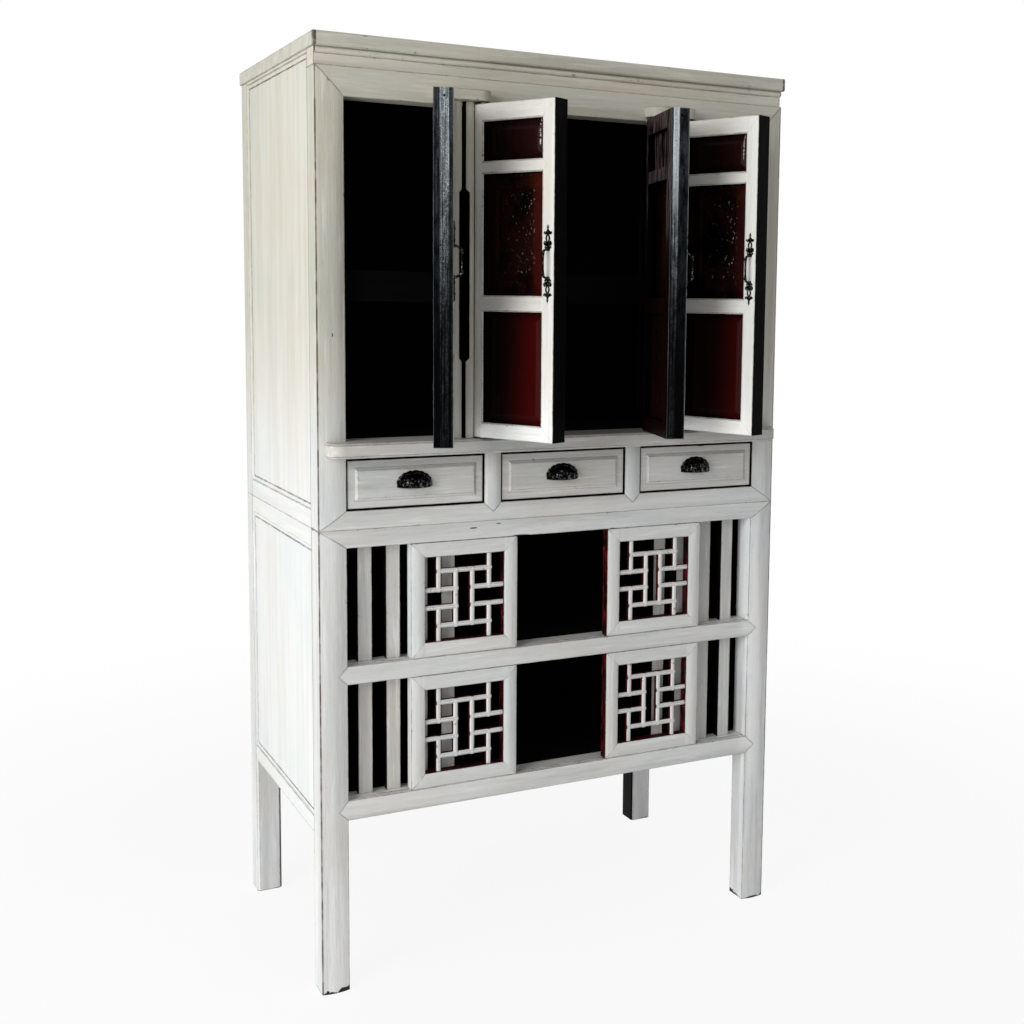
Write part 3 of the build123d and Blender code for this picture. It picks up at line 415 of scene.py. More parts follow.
@dataclass(frozen=True)
class Wash:
    """Thin white paint over dark red lacquer, rubbed through along the grain and at the arrises."""

    # foot is the paler paint low down: painted light near the floor. It also lightens the pale streaks.
    foot: Colour = tone(244, 244, 243)
    pale: Colour = tone(228, 228, 226)
    grey: Colour = tone(208, 208, 206)
    # Yellowed paint of the top, also darker there: partly the paint's age, partly painted shade.
    aged_shaded: Colour = tone(206, 203, 190)
    aged_shaded_grey: Colour = tone(187, 183, 168)
    # bright: painted light, the right legs' inner faces lit near white from the left.
    bright: Colour = tone(253, 254, 255)            # inner faces of the right hand legs
    cool: Colour = (0.930, 0.972, 0.985, 1.0)
    warm: Colour = (0.990, 0.955, 0.905, 1.0)
    streak: Colour = (0.700, 0.680, 0.640, 1.0)
    hair: Colour = (0.80, 0.79, 0.77, 1.0)
    under: Colour = tone(62, 30, 26)
    dark: Colour = tone(14, 11, 11)
    lit: Colour = tone(226, 224, 213)
    # Between these heights the paint yellows and darkens; the darkening is partly painted shade towards the
    # top.
    ageing_and_shade: tuple[float, float] = (0.94, 1.42)      # heights between which the paint yellows
    patch_share: float = 0.70
    streak_share: float = 0.42
    line_share: float = 0.92
    hair_share: float = 0.42
    scratch_share: float = 0.34
    arris_radius: float = 0.0030

    def grained(self, paint: Paintwork, grain: Grain, shift: float) -> Streaks:
        """Brush streaks along one grain direction.

        Args:
            paint: material being mixed.
            grain: the direction.
            shift: moves the pattern, so that two pieces differ.

        Returns:
            Wide patches, streaks and hair-fine scratches, each from 0 to 1.
        """
        offset = (shift, shift * 0.7, shift * 0.3)
        found = []
        for density, detail, rough in ((34, 3.0, 0.5), (150, 4.0, 0.6), (520, 3.0, 0.7)):
            place = paint.stretched([density * s for s in grain.value], offset)
            found.append(paint.noise(place, 1.0, detail, rough))
        return found[0], found[1], found[2]

    def chips(self, paint: Paintwork, mottle: Socket) -> Socket:
        """Marks the chips of the front.

        Args:
            paint: material being mixed.
            mottle: noise that makes their outlines ragged.

        Returns:
            1 inside the chips.
        """
        across, up = paint.across(), paint.height()
        ragged = paint.times(paint.less(mottle, 0.5), 2.6)
        found: Value = 0.0
        for chip in CHIPS:
            u = paint.times(paint.less(across, chip.across), 1 / chip.half_wide)
            v = paint.times(paint.less(up, chip.up), 1 / chip.half_high)
            far = paint.plus(paint.plus(paint.times(u, u), paint.times(v, v)), ragged)
            found = paint.most(found, paint.step(far, 1.0, 0.8))
        return paint.times(found, paint.step(paint.deep(), FACE + 0.012, FACE + 0.008))

    def corner(self, paint: Paintwork) -> Socket:
        """1 along the outer corners of the front posts, where hands have rubbed the paint away."""
        return paint.times(paint.step(paint.off(paint.across()), OUTER - 0.0028, OUTER - 0.0018),
                           paint.step(paint.deep(), FACE + 0.0086, FACE + 0.0072))

    def ground(self, paint: Paintwork, wide: Socket, age_and_shade: Socket) -> Socket:
        """Colour of the paint under its strokes: yellowed and darker above, the darkening partly painted
        shade; paler near the floor, on the right front post's foot and on the right legs' inner faces, as
        painted light.

        Args:
            paint: material being mixed.
            wide: wide patches.
            age_and_shade: how far the paint has yellowed and darkened, the darkening partly painted shade.

        Returns:
            The colour.
        """
        level, across = paint.height(), paint.across()
        # Painted light: paler near the floor and on the right front post's foot.
        painted_light_low = paint.times(paint.step(level, 0.95, 0.88), paint.step(across, 0.44, 0.47))
        painted_light_low = paint.most(painted_light_low, paint.step(level, 0.40, 0.10))
        # Painted light: the inner faces of the right legs, lit from the left, turn near white.
        lit_leg_insides = paint.times(paint.step(paint.along(paint.normal, LEFT), 0.85, 0.95),
                             paint.step(across, 0.30, 0.40))
        pale = paint.blend(painted_light_low, paint.blend(age_and_shade, self.pale, self.aged_shaded), self.foot)
        pale = paint.blend(paint.times(lit_leg_insides, paint.step(level, 0.98, 0.94)), pale, self.bright)
        grey = paint.blend(age_and_shade, self.grey, self.aged_shaded_grey)
        return paint.blend(paint.times(paint.step(wide, 0.38, 0.66), self.patch_share), pale, grey)

    def coat(self, paint: Paintwork, streaks: Streaks, shift: float) -> tuple[Socket, Socket, Socket]:
        """Mixes the wash.

        Args:
            paint: material being mixed.
            streaks: wide patches, streaks and scratches.
            shift: moves the pattern, so that two pieces differ.

        Returns:
            Colour, roughness and height.
        """
        wide, broad, fine = streaks
        moved = paint.stretched((1, 1, 1), (shift * 1.7, -shift, shift * 0.4))
        clouds = paint.noise(moved, 4.2, 4.0, 0.55)
        mottle = paint.noise(moved, 26.0, 5.0, 0.65)
        spots = paint.noise(moved, 95.0, 2.0, 0.5)
        # Yellowing with height; its darkening is partly painted shade.
        age_and_shade = paint.step(paint.height(), *self.ageing_and_shade)
        colour = self.ground(paint, wide, age_and_shade)
        colour = paint.tint(paint.times(paint.step(clouds, 0.50, 0.64), 0.75), colour, self.cool)
        colour = paint.tint(paint.times(paint.step(clouds, 0.48, 0.36), 0.60), colour, self.warm)
        drawn = paint.times(paint.step(broad, 0.52, 0.74),
                            paint.between(paint.step(mottle, 0.36, 0.60), 0.35, 1.0))
        colour = paint.tint(paint.times(drawn, self.streak_share), colour, self.streak)
        scratch = paint.times(paint.step(fine, 0.62, 0.76), paint.step(clouds, 0.42, 0.58))
        colour = paint.blend(paint.times(scratch, self.scratch_share), colour, self.under)
        colour = paint.tint(paint.times(paint.step(fine, 0.50, 0.30), self.hair_share), colour, self.hair)
        lit = paint.times(paint.step(broad, 0.46, 0.28), 0.55)
        colour = paint.blend(lit, colour, paint.blend(age_and_shade, self.foot, self.lit))
        broken = paint.step(mottle, 0.38, 0.56)
        line = paint.times(paint.arris(self.arris_radius, 0.010, 0.055), paint.between(broken, 0.42, 1.0))
        line = paint.most(line, paint.times(self.corner(paint), paint.between(broken, 0.60, 0.95)))
        colour = paint.blend(paint.times(line, self.line_share), colour, self.under)
        chip = self.worn_off(paint, mottle, spots)
        colour = paint.blend(chip, colour, self.dark)
        height = paint.plus(paint.times(broad, 0.7), paint.times(fine, 0.6))
        height = paint.less(height, paint.times(paint.most(chip, line), 0.9))
        return colour, paint.between(mottle, 0.40, 0.62), height

    def worn_off(self, paint: Paintwork, mottle: Socket, spots: Socket) -> Socket:
        """Marks where the paint is gone: flakes off the arrises, the front's chips and the very foot.

        Args:
            paint: material being mixed.
            mottle: coarse noise.
            spots: fine noise.

        Returns:
            1 where it is gone.
        """
        ragged = paint.times(paint.arris(0.007, 0.004, 0.05), paint.step(spots, 0.64, 0.68))
        ragged = paint.times(ragged, paint.step(mottle, 0.50, 0.58))
        chip = paint.most(ragged, self.chips(paint, mottle))
        worn_foot = paint.less(paint.height(), paint.times(paint.step(mottle, 0.50, 0.68), 0.010))
        return paint.most(chip, paint.step(worn_foot, 0.0012, 0.0004))


@dataclass(frozen=True)
class Whitewash:
    """Whitewashed carcass wood, with the faces that were never painted left dark, and painted shade in the
    drawer reveals and the pivot posts' slots.
    """

    name: str
    grain: Grain
    bare: Bare = Bare.NOWHERE
    shift: float = 0.0
    wash: Wash = Wash()
    bare_colour: Colour = tone(9, 8, 8)
    bare_light: Colour = tone(24, 18, 16)

    def frame_back(self, paint: Paintwork) -> Socket:
        """1 behind the face frame over the legs, and in the reveals round the drawers, where it is painted
        shade of the drawer gaps.

        Args:
            paint: material being mixed.

        Returns:
            The mask.
        """
        height = paint.height()
        # Painted shade: the reveals round the drawers are dark, so the gaps read as shade.
        band = paint.times(paint.step(height, DRAWER_Z - 0.0010, DRAWER_Z - 0.0004),
                           paint.step(height, DRAWER_TOP + 0.0010, DRAWER_TOP + 0.0004))
        band = paint.times(band, paint.step(paint.off(paint.across()), INNER + 0.0010, INNER + 0.0004))
        shaded_reveal = paint.times(band, paint.step(paint.ahead(), 0.30, 0.20))
        rear = paint.times(paint.step(paint.deep(), FRAME_BACK - 0.0016, FRAME_BACK - 0.0004),
                           paint.step(height, LEG_TOP, LEG_TOP + 0.001))
        return paint.most(shaded_reveal, rear)

    def post_insides(self, paint: Paintwork) -> Socket:
        """1 on the back posts' faces towards the inside.

        Args:
            paint: material being mixed.

        Returns:
            The mask.
        """
        wide = paint.off(paint.across())
        inner = paint.step(wide, INNER + 0.0036, INNER + 0.0030)
        inside = paint.times(paint.step(paint.ahead(), 0.45, 0.55),
                             paint.step(paint.height(), LEG_TOP, LEG_TOP + 0.001))
        return paint.most(inner, paint.times(inside, paint.step(wide, OUTER - 0.010, OUTER - 0.012)))

    def slots(self, paint: Paintwork) -> Socket:
        """1 in the slots of the pivot posts, dark as bare wood and as painted shade of the deep slot, and on
        the right hand pivot post's left strip, painted shade behind door c.

        Args:
            paint: material being mixed.

        Returns:
            The mask.
        """
        sideways = paint.step(paint.ahead(), 0.60, 0.50)
        middle = paint.off(paint.off(paint.across()), BAY)
        inside = paint.times(sideways, paint.step(middle, PIVOT_POST / 2 - 0.001, PIVOT_POST / 2 - 0.002))
        # Painted shade: the right hand pivot post's left strip lies in door c's shadow.
        shaded_by_door = paint.step(paint.less(paint.across(), BAY - PIVOT_POST / 2), 0.006, 0.005)
        right_bay = paint.step(paint.across(), 0.0, 0.001)
        # The slot's walls: bare wood, with painted shade of the deep slot.
        dark = paint.most(inside, paint.step(paint.deep(), FACE + 0.002, FACE + 0.004))
        return paint.most(dark, paint.times(shaded_by_door, right_bay))

    def bare_and_shaded_share(self, paint: Paintwork) -> Optional[Socket]:
        """Marks where the wood is left dark: bare wood, and painted shade in the drawer reveals and the pivot
        posts' slots.

        Args:
            paint: material being mixed.

        Returns:
            The mask, or None where the piece is painted all over.
        """
        if self.bare is Bare.BEHIND:
            return self.frame_back(paint)
        if self.bare is Bare.INNER_SIDES:
            return paint.step(paint.off(paint.across()), OUTER - 0.0116, OUTER - 0.0120)
        if self.bare is Bare.BACK_POSTS:
            return self.post_insides(paint)
        if self.bare is Bare.OFF_FRONT:
            return paint.step(paint.ahead(), 0.55, 0.45)
        if self.bare is Bare.SLOTS:
            return self.slots(paint)
        return None

    def make(self) -> bpy.types.Material:
        """Mixes the material.

        Returns:
            The material.
        """
        paint = Paintwork(self.name)
        streaks = self.wash.grained(paint, self.grain, self.shift)
        colour, roughness, height = self.wash.coat(paint, streaks, self.shift)
        bare = self.bare_and_shaded_share(paint)
        gloss: Value = 0.30
        if bare is not None:
            worn = paint.blend(paint.step(streaks[1], 0.5, 0.9), self.bare_colour, self.bare_light)
            colour = paint.blend(bare, colour, worn)
            gloss = paint.between(bare, gloss, 0.04)
        paint.relief(height, 0.0010, 0.8)
        paint.gloss(gloss, 0.15)
        return paint.finish(colour, roughness)


@dataclass(frozen=True)
class SliderPaint:
    """Whitewash on a sliding door: grain follows each member, and the sides stay dark red."""

    name: str
    left: float
    right: float
    shift: float
    white_edge: bool
    member: float = 0.030
    wash: Wash = Wash(patch_share=0.45, streak_share=0.34)
    side: Colour = tone(88, 20, 22)
    side_dark: Colour = tone(12, 6, 6)

    def make(self) -> bpy.types.Material:
        """Mixes the material.

        Returns:
            The material.
        """
        paint = Paintwork(self.name)
        across = paint.across()
        left, right = self.left + self.member, self.right - self.member
        stile = paint.most(paint.step(across, left + 0.0002, left - 0.0002),
                           paint.step(across, right - 0.0002, right + 0.0002))
        streaks = turned_grain(paint, self.wash, stile, Grain.ACROSS, self.shift)
        colour, roughness, height = self.wash.coat(paint, streaks, self.shift)
        bare = paint.step(paint.ahead(), 0.60, 0.45)
        if self.white_edge:
            bare = paint.times(bare, paint.step(across, self.left + 0.0002, self.left + 0.0006))
        rubbed = paint.noise(paint.stretched((160, 160, 30)), 1.0, 4.0, 0.6)
        lacquer = paint.blend(paint.step(rubbed, 0.46, 0.60), self.side_dark, self.side)
        flake = paint.step(paint.noise(paint.position, 90.0, 4.0, 0.65), 0.71, 0.73)
        lacquer = paint.blend(flake, lacquer, self.wash.pale)
        paint.relief(height, 0.0009, 0.8)
        paint.gloss(paint.between(bare, 0.30, 0.05), 0.25)
        return paint.finish(paint.blend(bare, colour, lacquer), roughness)


def turned_grain(paint: Paintwork, wash: Wash, stile: Socket, level: Grain, shift: float) -> Streaks:
    """Brush streaks that run up a door's stiles and along its rails.

    Args:
        paint: material being mixed.
        wash: the door's wash.
        stile: 1 on the stiles.
        level: grain of the rails.
        shift: moves the pattern, so that two pieces differ.

    Returns:
        Wide patches, streaks and hair-fine scratches.
    """
    tall = wash.grained(paint, Grain.UP, shift)
    flat = wash.grained(paint, level, shift + 3)
    wide, broad, fine = (paint.between(stile, low, high) for low, high in zip(flat, tall))
    return wide, broad, fine


@dataclass(frozen=True)
class Hang:
    """How a pivoting door stands, in plan."""

    pivot: tuple[float, float]
    along: tuple[float, float]      # from the pivot to the free edge
    facing: tuple[float, float]     # the way that the door's front looks

    def reach(self, paint: Paintwork) -> Socket:
        """Distance from the pivot axis towards the free edge."""
        return paint.along(paint.position, (*self.along, 0), (*self.pivot, 0))

    def forward(self, paint: Paintwork) -> Socket:
        """Distance in front of the pivot axis."""
        return paint.along(paint.position, (*self.facing, 0), (*self.pivot, 0))

    def looks(self, paint: Paintwork) -> Socket:
        """1 on the door's front, -1 on its back."""
        return paint.along(paint.normal, (*self.facing, 0))

    def back_reflection(self, paint: Paintwork) -> Socket:
        """Painted reflection on the door's back, in grey upright patches that fade out downwards.

        Args:
            paint: material being mixed.

        Returns:
            The share of painted reflection.
        """
        patches = paint.noise(paint.stretched((150, 150, 14)), 1.0, 3.0, 0.6)
        share = paint.times(paint.step(patches, 0.44, 0.60), paint.step(paint.height(), 1.44, 1.66))
        return paint.times(paint.times(share, paint.step(self.looks(paint), -0.5, -0.8)), 0.62)


@dataclass(frozen=True)
class LeafPaint:
    """A pivoting door's frame: white in front, black lacquer on its edges with a painted highlight and painted
    reflection on the free edge, maroon behind.
    """

    name: str
    hang: Hang
    # The free edge's pale band is real scuffing and a painted highlight where the round edge catches the
    # light; sheen_strip places that band and solid is how solid the painted highlight is at the top.
    scuffed_and_sheened: bool
    sheen_strip: tuple[float, float]      # bright strip of the edge: middle, forwards from the pivot, and half width
    solid: float                    # how solid that strip is at the top
    shift: float
    # A paler copy of the wash: painted light on the door fronts, turned towards the light from the left.
    wash: Wash = Wash(foot=tone(253, 252, 250), pale=tone(252, 251, 249), grey=tone(236, 235, 231),
                      aged_shaded=tone(238, 237, 232), aged_shaded_grey=tone(218, 216, 208), lit=tone(246, 245, 241),
                      patch_share=0.5, streak_share=0.30, line_share=0.9)
    lacquer: Colour = tone(3, 3, 4)
    # scuff_and_sheen: scuffs and painted highlight in one colour; blue: painted reflection on the black
    # lacquer.
    scuff_and_sheen: Colour = tone(214, 224, 228)
    blue: Colour = tone(56, 61, 66)
    maroon: Colour = tone(34, 11, 11)
    # back_reflection: colour of the painted reflection on the door's back.
    back_reflection: Colour = tone(118, 104, 108)
    nail: tuple[float, float] = (0.0018, LEAF_TOP - 0.015)      # hole in the edge: forwards and up

    def edge(self, paint: Paintwork, scored: Socket) -> Socket:
        """Mixes the free edge: black, scuffed along the strokes, with painted highlights in a pale blue-grey
        band and along the arris, and a blue painted reflection.

        Args:
            paint: material being mixed.
            scored: scratches along the edge.

        Returns:
            The colour.
        """
        height, forward = paint.height(), self.hang.forward(paint)
        blotch = paint.noise(paint.stretched((120, 120, 30), (0, self.shift, 0)), 1.0, 3.0, 0.6)
        specks = paint.noise(paint.position, 430.0, 4.0, 0.7)
        mixed = paint.plus(paint.times(scored, 0.55), paint.times(specks, 0.45))
        high = paint.step(height, LEAF_Z + 0.10, LEAF_TOP - 0.05)
        middle, half = self.sheen_strip
        sheen_strip = paint.step(paint.plus(paint.off(forward, middle), paint.times(paint.less(blotch, 0.5), 0.003)),
                           half * 1.08, half * 0.92)
        # worn here mixes real scuffs with the painted highlight of the band.
        worn = paint.times(paint.step(mixed, 0.48, 0.58),
                           paint.between(paint.step(blotch, 0.36, 0.60), 0.35, 1.0))
        worn = paint.times(worn, paint.between(paint.times(high, high), 0.04, 1.0))
        worn = paint.times(worn, paint.between(sheen_strip, 0.07, 1.0) if self.scuffed_and_sheened else 0.01)
        # Painted highlight: the band turns solid near the top of the edge.
        solid = paint.times(sheen_strip, paint.step(height, LEAF_TOP - 0.26, LEAF_TOP - 0.10))
        solid = paint.times(solid, paint.between(paint.step(mixed, 0.42, 0.54), 0.35, 1.0))
        worn = paint.most(worn, paint.times(solid, self.solid))
        # Painted highlight along the edge's arris, broken by the scratches.
        rim = paint.times(paint.arris(0.0016, 0.02, 0.2), paint.step(scored, 0.35, 0.60))
        worn = paint.most(worn, paint.times(rim, 0.6 if self.scuffed_and_sheened else 0.05))
        # Painted reflection: a blue cast on the black edge, higher up and in the band.
        cast = paint.times(high, paint.times(paint.step(blotch, 0.35, 0.65), 0.9 if self.scuffed_and_sheened else 0.0))
        cast = paint.times(cast, paint.between(sheen_strip, 0.45, 1.0))
        colour = paint.blend(worn, paint.blend(cast, self.lacquer, self.blue), self.scuff_and_sheen)
        aside, over = paint.less(forward, self.nail[0]), paint.less(height, self.nail[1])
        far = paint.plus(paint.times(over, over), paint.times(aside, aside))
        return paint.blend(paint.step(far, 0.0026 ** 2, 0.0020 ** 2), colour, self.lacquer)

    def make(self) -> bpy.types.Material:
        """Mixes the material.

        Returns:
            The material.
        """
        paint = Paintwork(self.name)
        reach, looks = self.hang.reach(paint), self.hang.looks(paint)
        stile = paint.most(paint.step(reach, HINGE_IN + 0.0004, HINGE_IN - 0.0004),
                           paint.step(reach, FREE_IN - 0.0004, FREE_IN + 0.0004))
        streaks = turned_grain(paint, self.wash, stile, Grain.LEVEL, self.shift)
        colour, roughness, height = self.wash.coat(paint, streaks, self.shift)
        ragged = paint.times(paint.less(paint.noise(paint.position, 60.0, 2.0), 0.5), 0.0010)
        painted = paint.times(paint.step(looks, 0.45, 0.60),
                              paint.step(paint.plus(reach, ragged), LEAF_REACH - 0.0015, LEAF_REACH - 0.0020))
        scored = paint.noise(paint.stretched((900, 900, 5), (self.shift, 0, 0)), 1.0, 3.0, 0.7)
        hidden = paint.blend(paint.step(scored, 0.35, 0.70), self.lacquer, self.maroon)
        hidden = paint.blend(paint.step(looks, -0.5, -0.8), self.lacquer, hidden)
        hidden = paint.blend(self.hang.back_reflection(paint), hidden, self.back_reflection)
        free = paint.step(reach, LEAF_REACH - 0.0040, LEAF_REACH - 0.0030)
        colour = paint.blend(painted, paint.blend(free, hidden, self.edge(paint, scored)), colour)
        paint.relief(paint.plus(height, paint.times(scored, 0.4)), 0.0008, 0.7)
        paint.gloss(paint.between(painted, 0.012, 0.30), 0.12)
        return paint.finish(colour, paint.between(painted, paint.between(scored, 0.18, 0.45), roughness))


@dataclass(frozen=True)
class Lacquer:
    """Old red lacquer of a door's plain panels, with painted light and shade: near black by the pivot, lit red
    by the free stile, painted highlights on the raised edges.
    """

    name: str
    hang: Hang
    # spread: how strongly the painted light shows. deep is the painted shade by the pivot, wine and warm the
    # lit red of the upper and lower panels, bright the painted highlight on the raised edges.
    spread: float
    deep: Colour = tone(24, 11, 10)
    wine: Colour = tone(38, 15, 15)
    warm: Colour = tone(64, 8, 7)
    bright: Colour = tone(110, 50, 46)
    glint: Colour = tone(206, 178, 176)
    # back_reflection: colour of the painted reflection on the panel's back.
    back_reflection: Colour = tone(112, 98, 102)
    low_top: float = 1.378              # top of the lower panel
    glint_low: float = 1.694            # ends of the glint on the upper panel
    glint_high: float = 1.756
    glint_in: float = 0.0125            # glint to the free stile

    def shine(self, paint: Paintwork, reach: Socket, front: Socket, grit: Socket) -> Socket:
        """Marks the broken glint down the upper panel's raised edge.

        Args:
            paint: material being mixed.
            reach: distance from the pivot.
            front: 1 on the front.
            grit: fine noise.

        Returns:
            The mask.
        """
        level = paint.height()
        line = paint.step(paint.off(reach, FREE_IN - self.glint_in), 0.0014, 0.0006)
        glint = paint.times(line, paint.times(front, paint.step(grit, 0.47, 0.55)))
        ends = paint.times(paint.step(level, self.glint_low, self.glint_low + 0.010),
                           paint.step(level, self.glint_high, self.glint_high - 0.010))
        return paint.times(paint.times(glint, ends), self.spread)

    def make(self) -> bpy.types.Material:
        """Mixes the material.

        Returns:
            The material.
        """
        paint = Paintwork(self.name)
        reach = self.hang.reach(paint)
        clouds = paint.noise(paint.stretched((9, 9, 5)), 1.0, 3.0, 0.5)
        runs = paint.noise(paint.stretched((90, 90, 7)), 1.0, 4.0, 0.6)
        grit = paint.noise(paint.position, 260.0, 2.0, 0.6)
        lower = paint.step(paint.height(), self.low_top + 0.02, self.low_top - 0.02)
        # Painted light and shade: dark by the pivot, lit red towards the free stile.
        ragged = paint.times(paint.less(clouds, 0.5), 0.05)
        share = paint.step(paint.plus(reach, ragged), HINGE_IN + 0.030, FREE_IN - 0.004)
        front = paint.step(self.hang.looks(paint), -0.3, 0.0)
        share = paint.times(paint.times(share, self.spread), front)
        colour = paint.blend(share, self.deep, paint.blend(lower, self.wine, self.warm))
        colour = paint.blend(paint.times(paint.step(runs, 0.46, 0.76), 0.40), colour, self.deep)
        # Painted highlight on the raised edges, strongest by the free stile.
        side = paint.step(reach, FREE_IN - 0.034, FREE_IN - 0.020)
        edge = paint.times(paint.arris(0.0022, 0.01, 0.10),
                           paint.times(front, paint.between(side, 0.12, 1.0)))
        rubbed = paint.times(edge, paint.step(grit, 0.44, 0.56))
        colour = paint.blend(paint.times(rubbed, 0.35), colour, self.bright)
        glint = self.shine(paint, reach, front, grit)
        colour = paint.blend(glint, colour, self.glint)
        colour = paint.blend(self.hang.back_reflection(paint), colour, self.back_reflection)
        paint.relief(paint.plus(paint.times(runs, 0.6), paint.times(grit, 0.25)), 0.0004, 0.35)
        paint.gloss(paint.between(glint, 0.03, 0.6), 0.08)
        return paint.finish(colour, paint.between(paint.step(runs, 0.3, 0.7), 0.16, 0.32))


@dataclass(frozen=True)
class CarvedLacquer:
    """Carved panel: brown-black in the ground, with red and amber painted light on the margins by the free
    stile and at the top, an amber painted highlight on the arrises, glossy on the high spots.
    """

    name: str
    hang: Hang
    # lit_redness: how strongly the painted light reddens the panel.
    lit_redness: float
    top: float
    ground: Colour = tone(8, 4, 4)
    brown: Colour = tone(30, 13, 9)
    red: Colour = tone(72, 18, 8)
    amber: Colour = tone(112, 58, 20)

    def make(self) -> bpy.types.Material:
        """Mixes the material.

        Returns:
            The material.
        """
        paint = Paintwork(self.name)
        reach = self.hang.reach(paint)
        clouds = paint.noise(paint.position, 14.0, 3.0, 0.5)
        colour = paint.blend(paint.step(clouds, 0.4, 0.65), self.ground, self.brown)
        # Painted light: red by the free stile, amber along the top.
        free_side = paint.step(reach, FREE_IN - 0.045, FREE_IN - 0.004)
        colour = paint.blend(paint.times(free_side, 0.70 * self.lit_redness), colour, self.red)
        top_side = paint.times(paint.step(paint.height(), self.top - 0.040, self.top - 0.012),
                               paint.step(reach, HINGE_IN + 0.050, FREE_IN - 0.020))
        colour = paint.blend(paint.times(top_side, 0.12 * self.lit_redness), colour, self.amber)
        # Painted highlight: amber on the arrises by the free stile.
        edge = paint.arris(0.0016, 0.03, 0.25)
        colour = paint.blend(paint.times(edge, paint.between(free_side, 0.10, 0.40)), colour, self.amber)
        grit = paint.noise(paint.position, 320.0, 3.0, 0.6)
        pools = paint.step(paint.noise(paint.stretched((240, 240, 120)), 1.0, 3.0, 0.6), 0.58, 0.62)
        carved = paint.times(paint.step(reach, FREE_IN - 0.120, FREE_IN - 0.050),
                             paint.step(reach, FREE_IN - 0.022, FREE_IN - 0.030))
        paint.relief(grit, 0.0004, 0.4)
        paint.gloss(paint.between(paint.times(pools, carved), 0.005, 0.8), 0.12)
        return paint.finish(colour, paint.between(grit, 0.08, 0.30))


@dataclass(frozen=True)
class DarkBoard:
    """Dull black-brown stain on inner boards; the back's outside shows its wood."""

    name: str
    grain: Grain
    stain: Colour = tone(7, 7, 7)
    light: Colour = tone(16, 12, 11)
    rear: Colour = tone(66, 46, 35)
    rear_light: Colour = tone(112, 84, 63)
    rear_shade: Colour = (0.72, 0.68, 0.64, 1.0)

    def make(self) -> bpy.types.Material:
        """Mixes the material.

        Returns:
            The material.
        """
        paint = Paintwork(self.name)
        lines = paint.noise(paint.stretched([90 * s for s in self.grain.value]), 1.0, 5.0, 0.6)
        board = paint.noise(paint.stretched([7 * s for s in self.grain.value]), 1.0, 2.0)
        clouds = paint.noise(paint.position, 5.0)
        share = paint.times(paint.step(lines, 0.45, 0.80), paint.step(clouds, 0.35, 0.70))
        inner = paint.blend(share, self.stain, self.light)
        rear = paint.blend(paint.step(lines, 0.35, 0.70), self.rear, self.rear_light)
        rear = paint.tint(paint.step(board, 0.42, 0.60), rear, self.rear_shade)
        outside = paint.times(paint.step(paint.along(paint.normal, BACK), 0.5, 0.8),
                              paint.step(paint.deep(), FACE + DEPTH - 0.060, FACE + DEPTH - 0.055))
        paint.relief(lines, 0.0006, 0.5)
        paint.gloss(0.03)
        return paint.finish(paint.blend(outside, inner, rear), paint.between(lines, 0.6, 0.8))


@dataclass(frozen=True)
class BlackIron:
    """Black japanned casting: glossy on its high spots, pitted, dull in its hollows."""

    name: str = "black_iron"
    black: Colour = tone(3, 3, 4)
    rubbed: Colour = tone(40, 40, 42)

    def make(self) -> bpy.types.Material:
        """Mixes the material.

        Returns:
            The material.
        """
        paint = Paintwork(self.name)
        pits = paint.noise(paint.position, 420.0, 3.0, 0.6)
        spots = paint.noise(paint.position, 230.0, 2.0)
        worn = paint.times(paint.arris(0.0009, 0.02, 0.25), paint.step(spots, 0.50, 0.62))
        paint.relief(pits, 0.0003, 0.5)
        paint.gloss(paint.between(paint.step(spots, 0.56, 0.60), 0.03, 0.9), 0.2)
        return paint.finish(paint.blend(paint.times(worn, 0.5), self.black, self.rubbed),
                            paint.between(pits, 0.10, 0.30))


# --------------------------------------------------------------------------------- mesh helpers
def shown(name: str, mesh: bpy.types.Mesh, material: bpy.types.Material,
          smooth: bool = True) -> bpy.types.Object:
    """Puts a mesh in the scene as a piece.

    Args:
        name: piece name.
        mesh: its mesh.
        material: its finish.
        smooth: shade its faces smooth.

    Returns:
        The new object.
    """
    piece = bpy.data.objects.new(name, mesh)
    bpy.context.scene.collection.objects.link(piece)
    mesh.materials.clear()
    mesh.materials.append(material)
    mesh.polygons.foreach_set("use_smooth", [smooth] * len(mesh.polygons))
    return piece


def dress(node: str, material: bpy.types.Material) -> None:
    """Gives a solid of the frame its finish.

    Args:
        node: the solid's name.
        material: its finish.
    """
    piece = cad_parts[node]
    if piece.data.materials:
        for index in range(len(piece.data.materials)):
            piece.data.materials[index] = material
    else:
        piece.data.materials.append(material)


def grid_faces(build: bmesh.types.BMesh, rows: Sequence[Sequence[bmesh.types.BMVert]], closed: bool) -> None:
    """Joins rows of points with four-sided faces.

    Args:
        build: mesh under construction.
        rows: rows of equally many points.
        closed: join each row's last point to its first.
    """
    for near, far in zip(rows, rows[1:]):
        count = len(near)
        for i in range(count if closed else count - 1):
            j = (i + 1) % count
            face = [near[i], near[j], far[j], far[i]]
            if len(set(face)) == 4:
                build.faces.new(face)


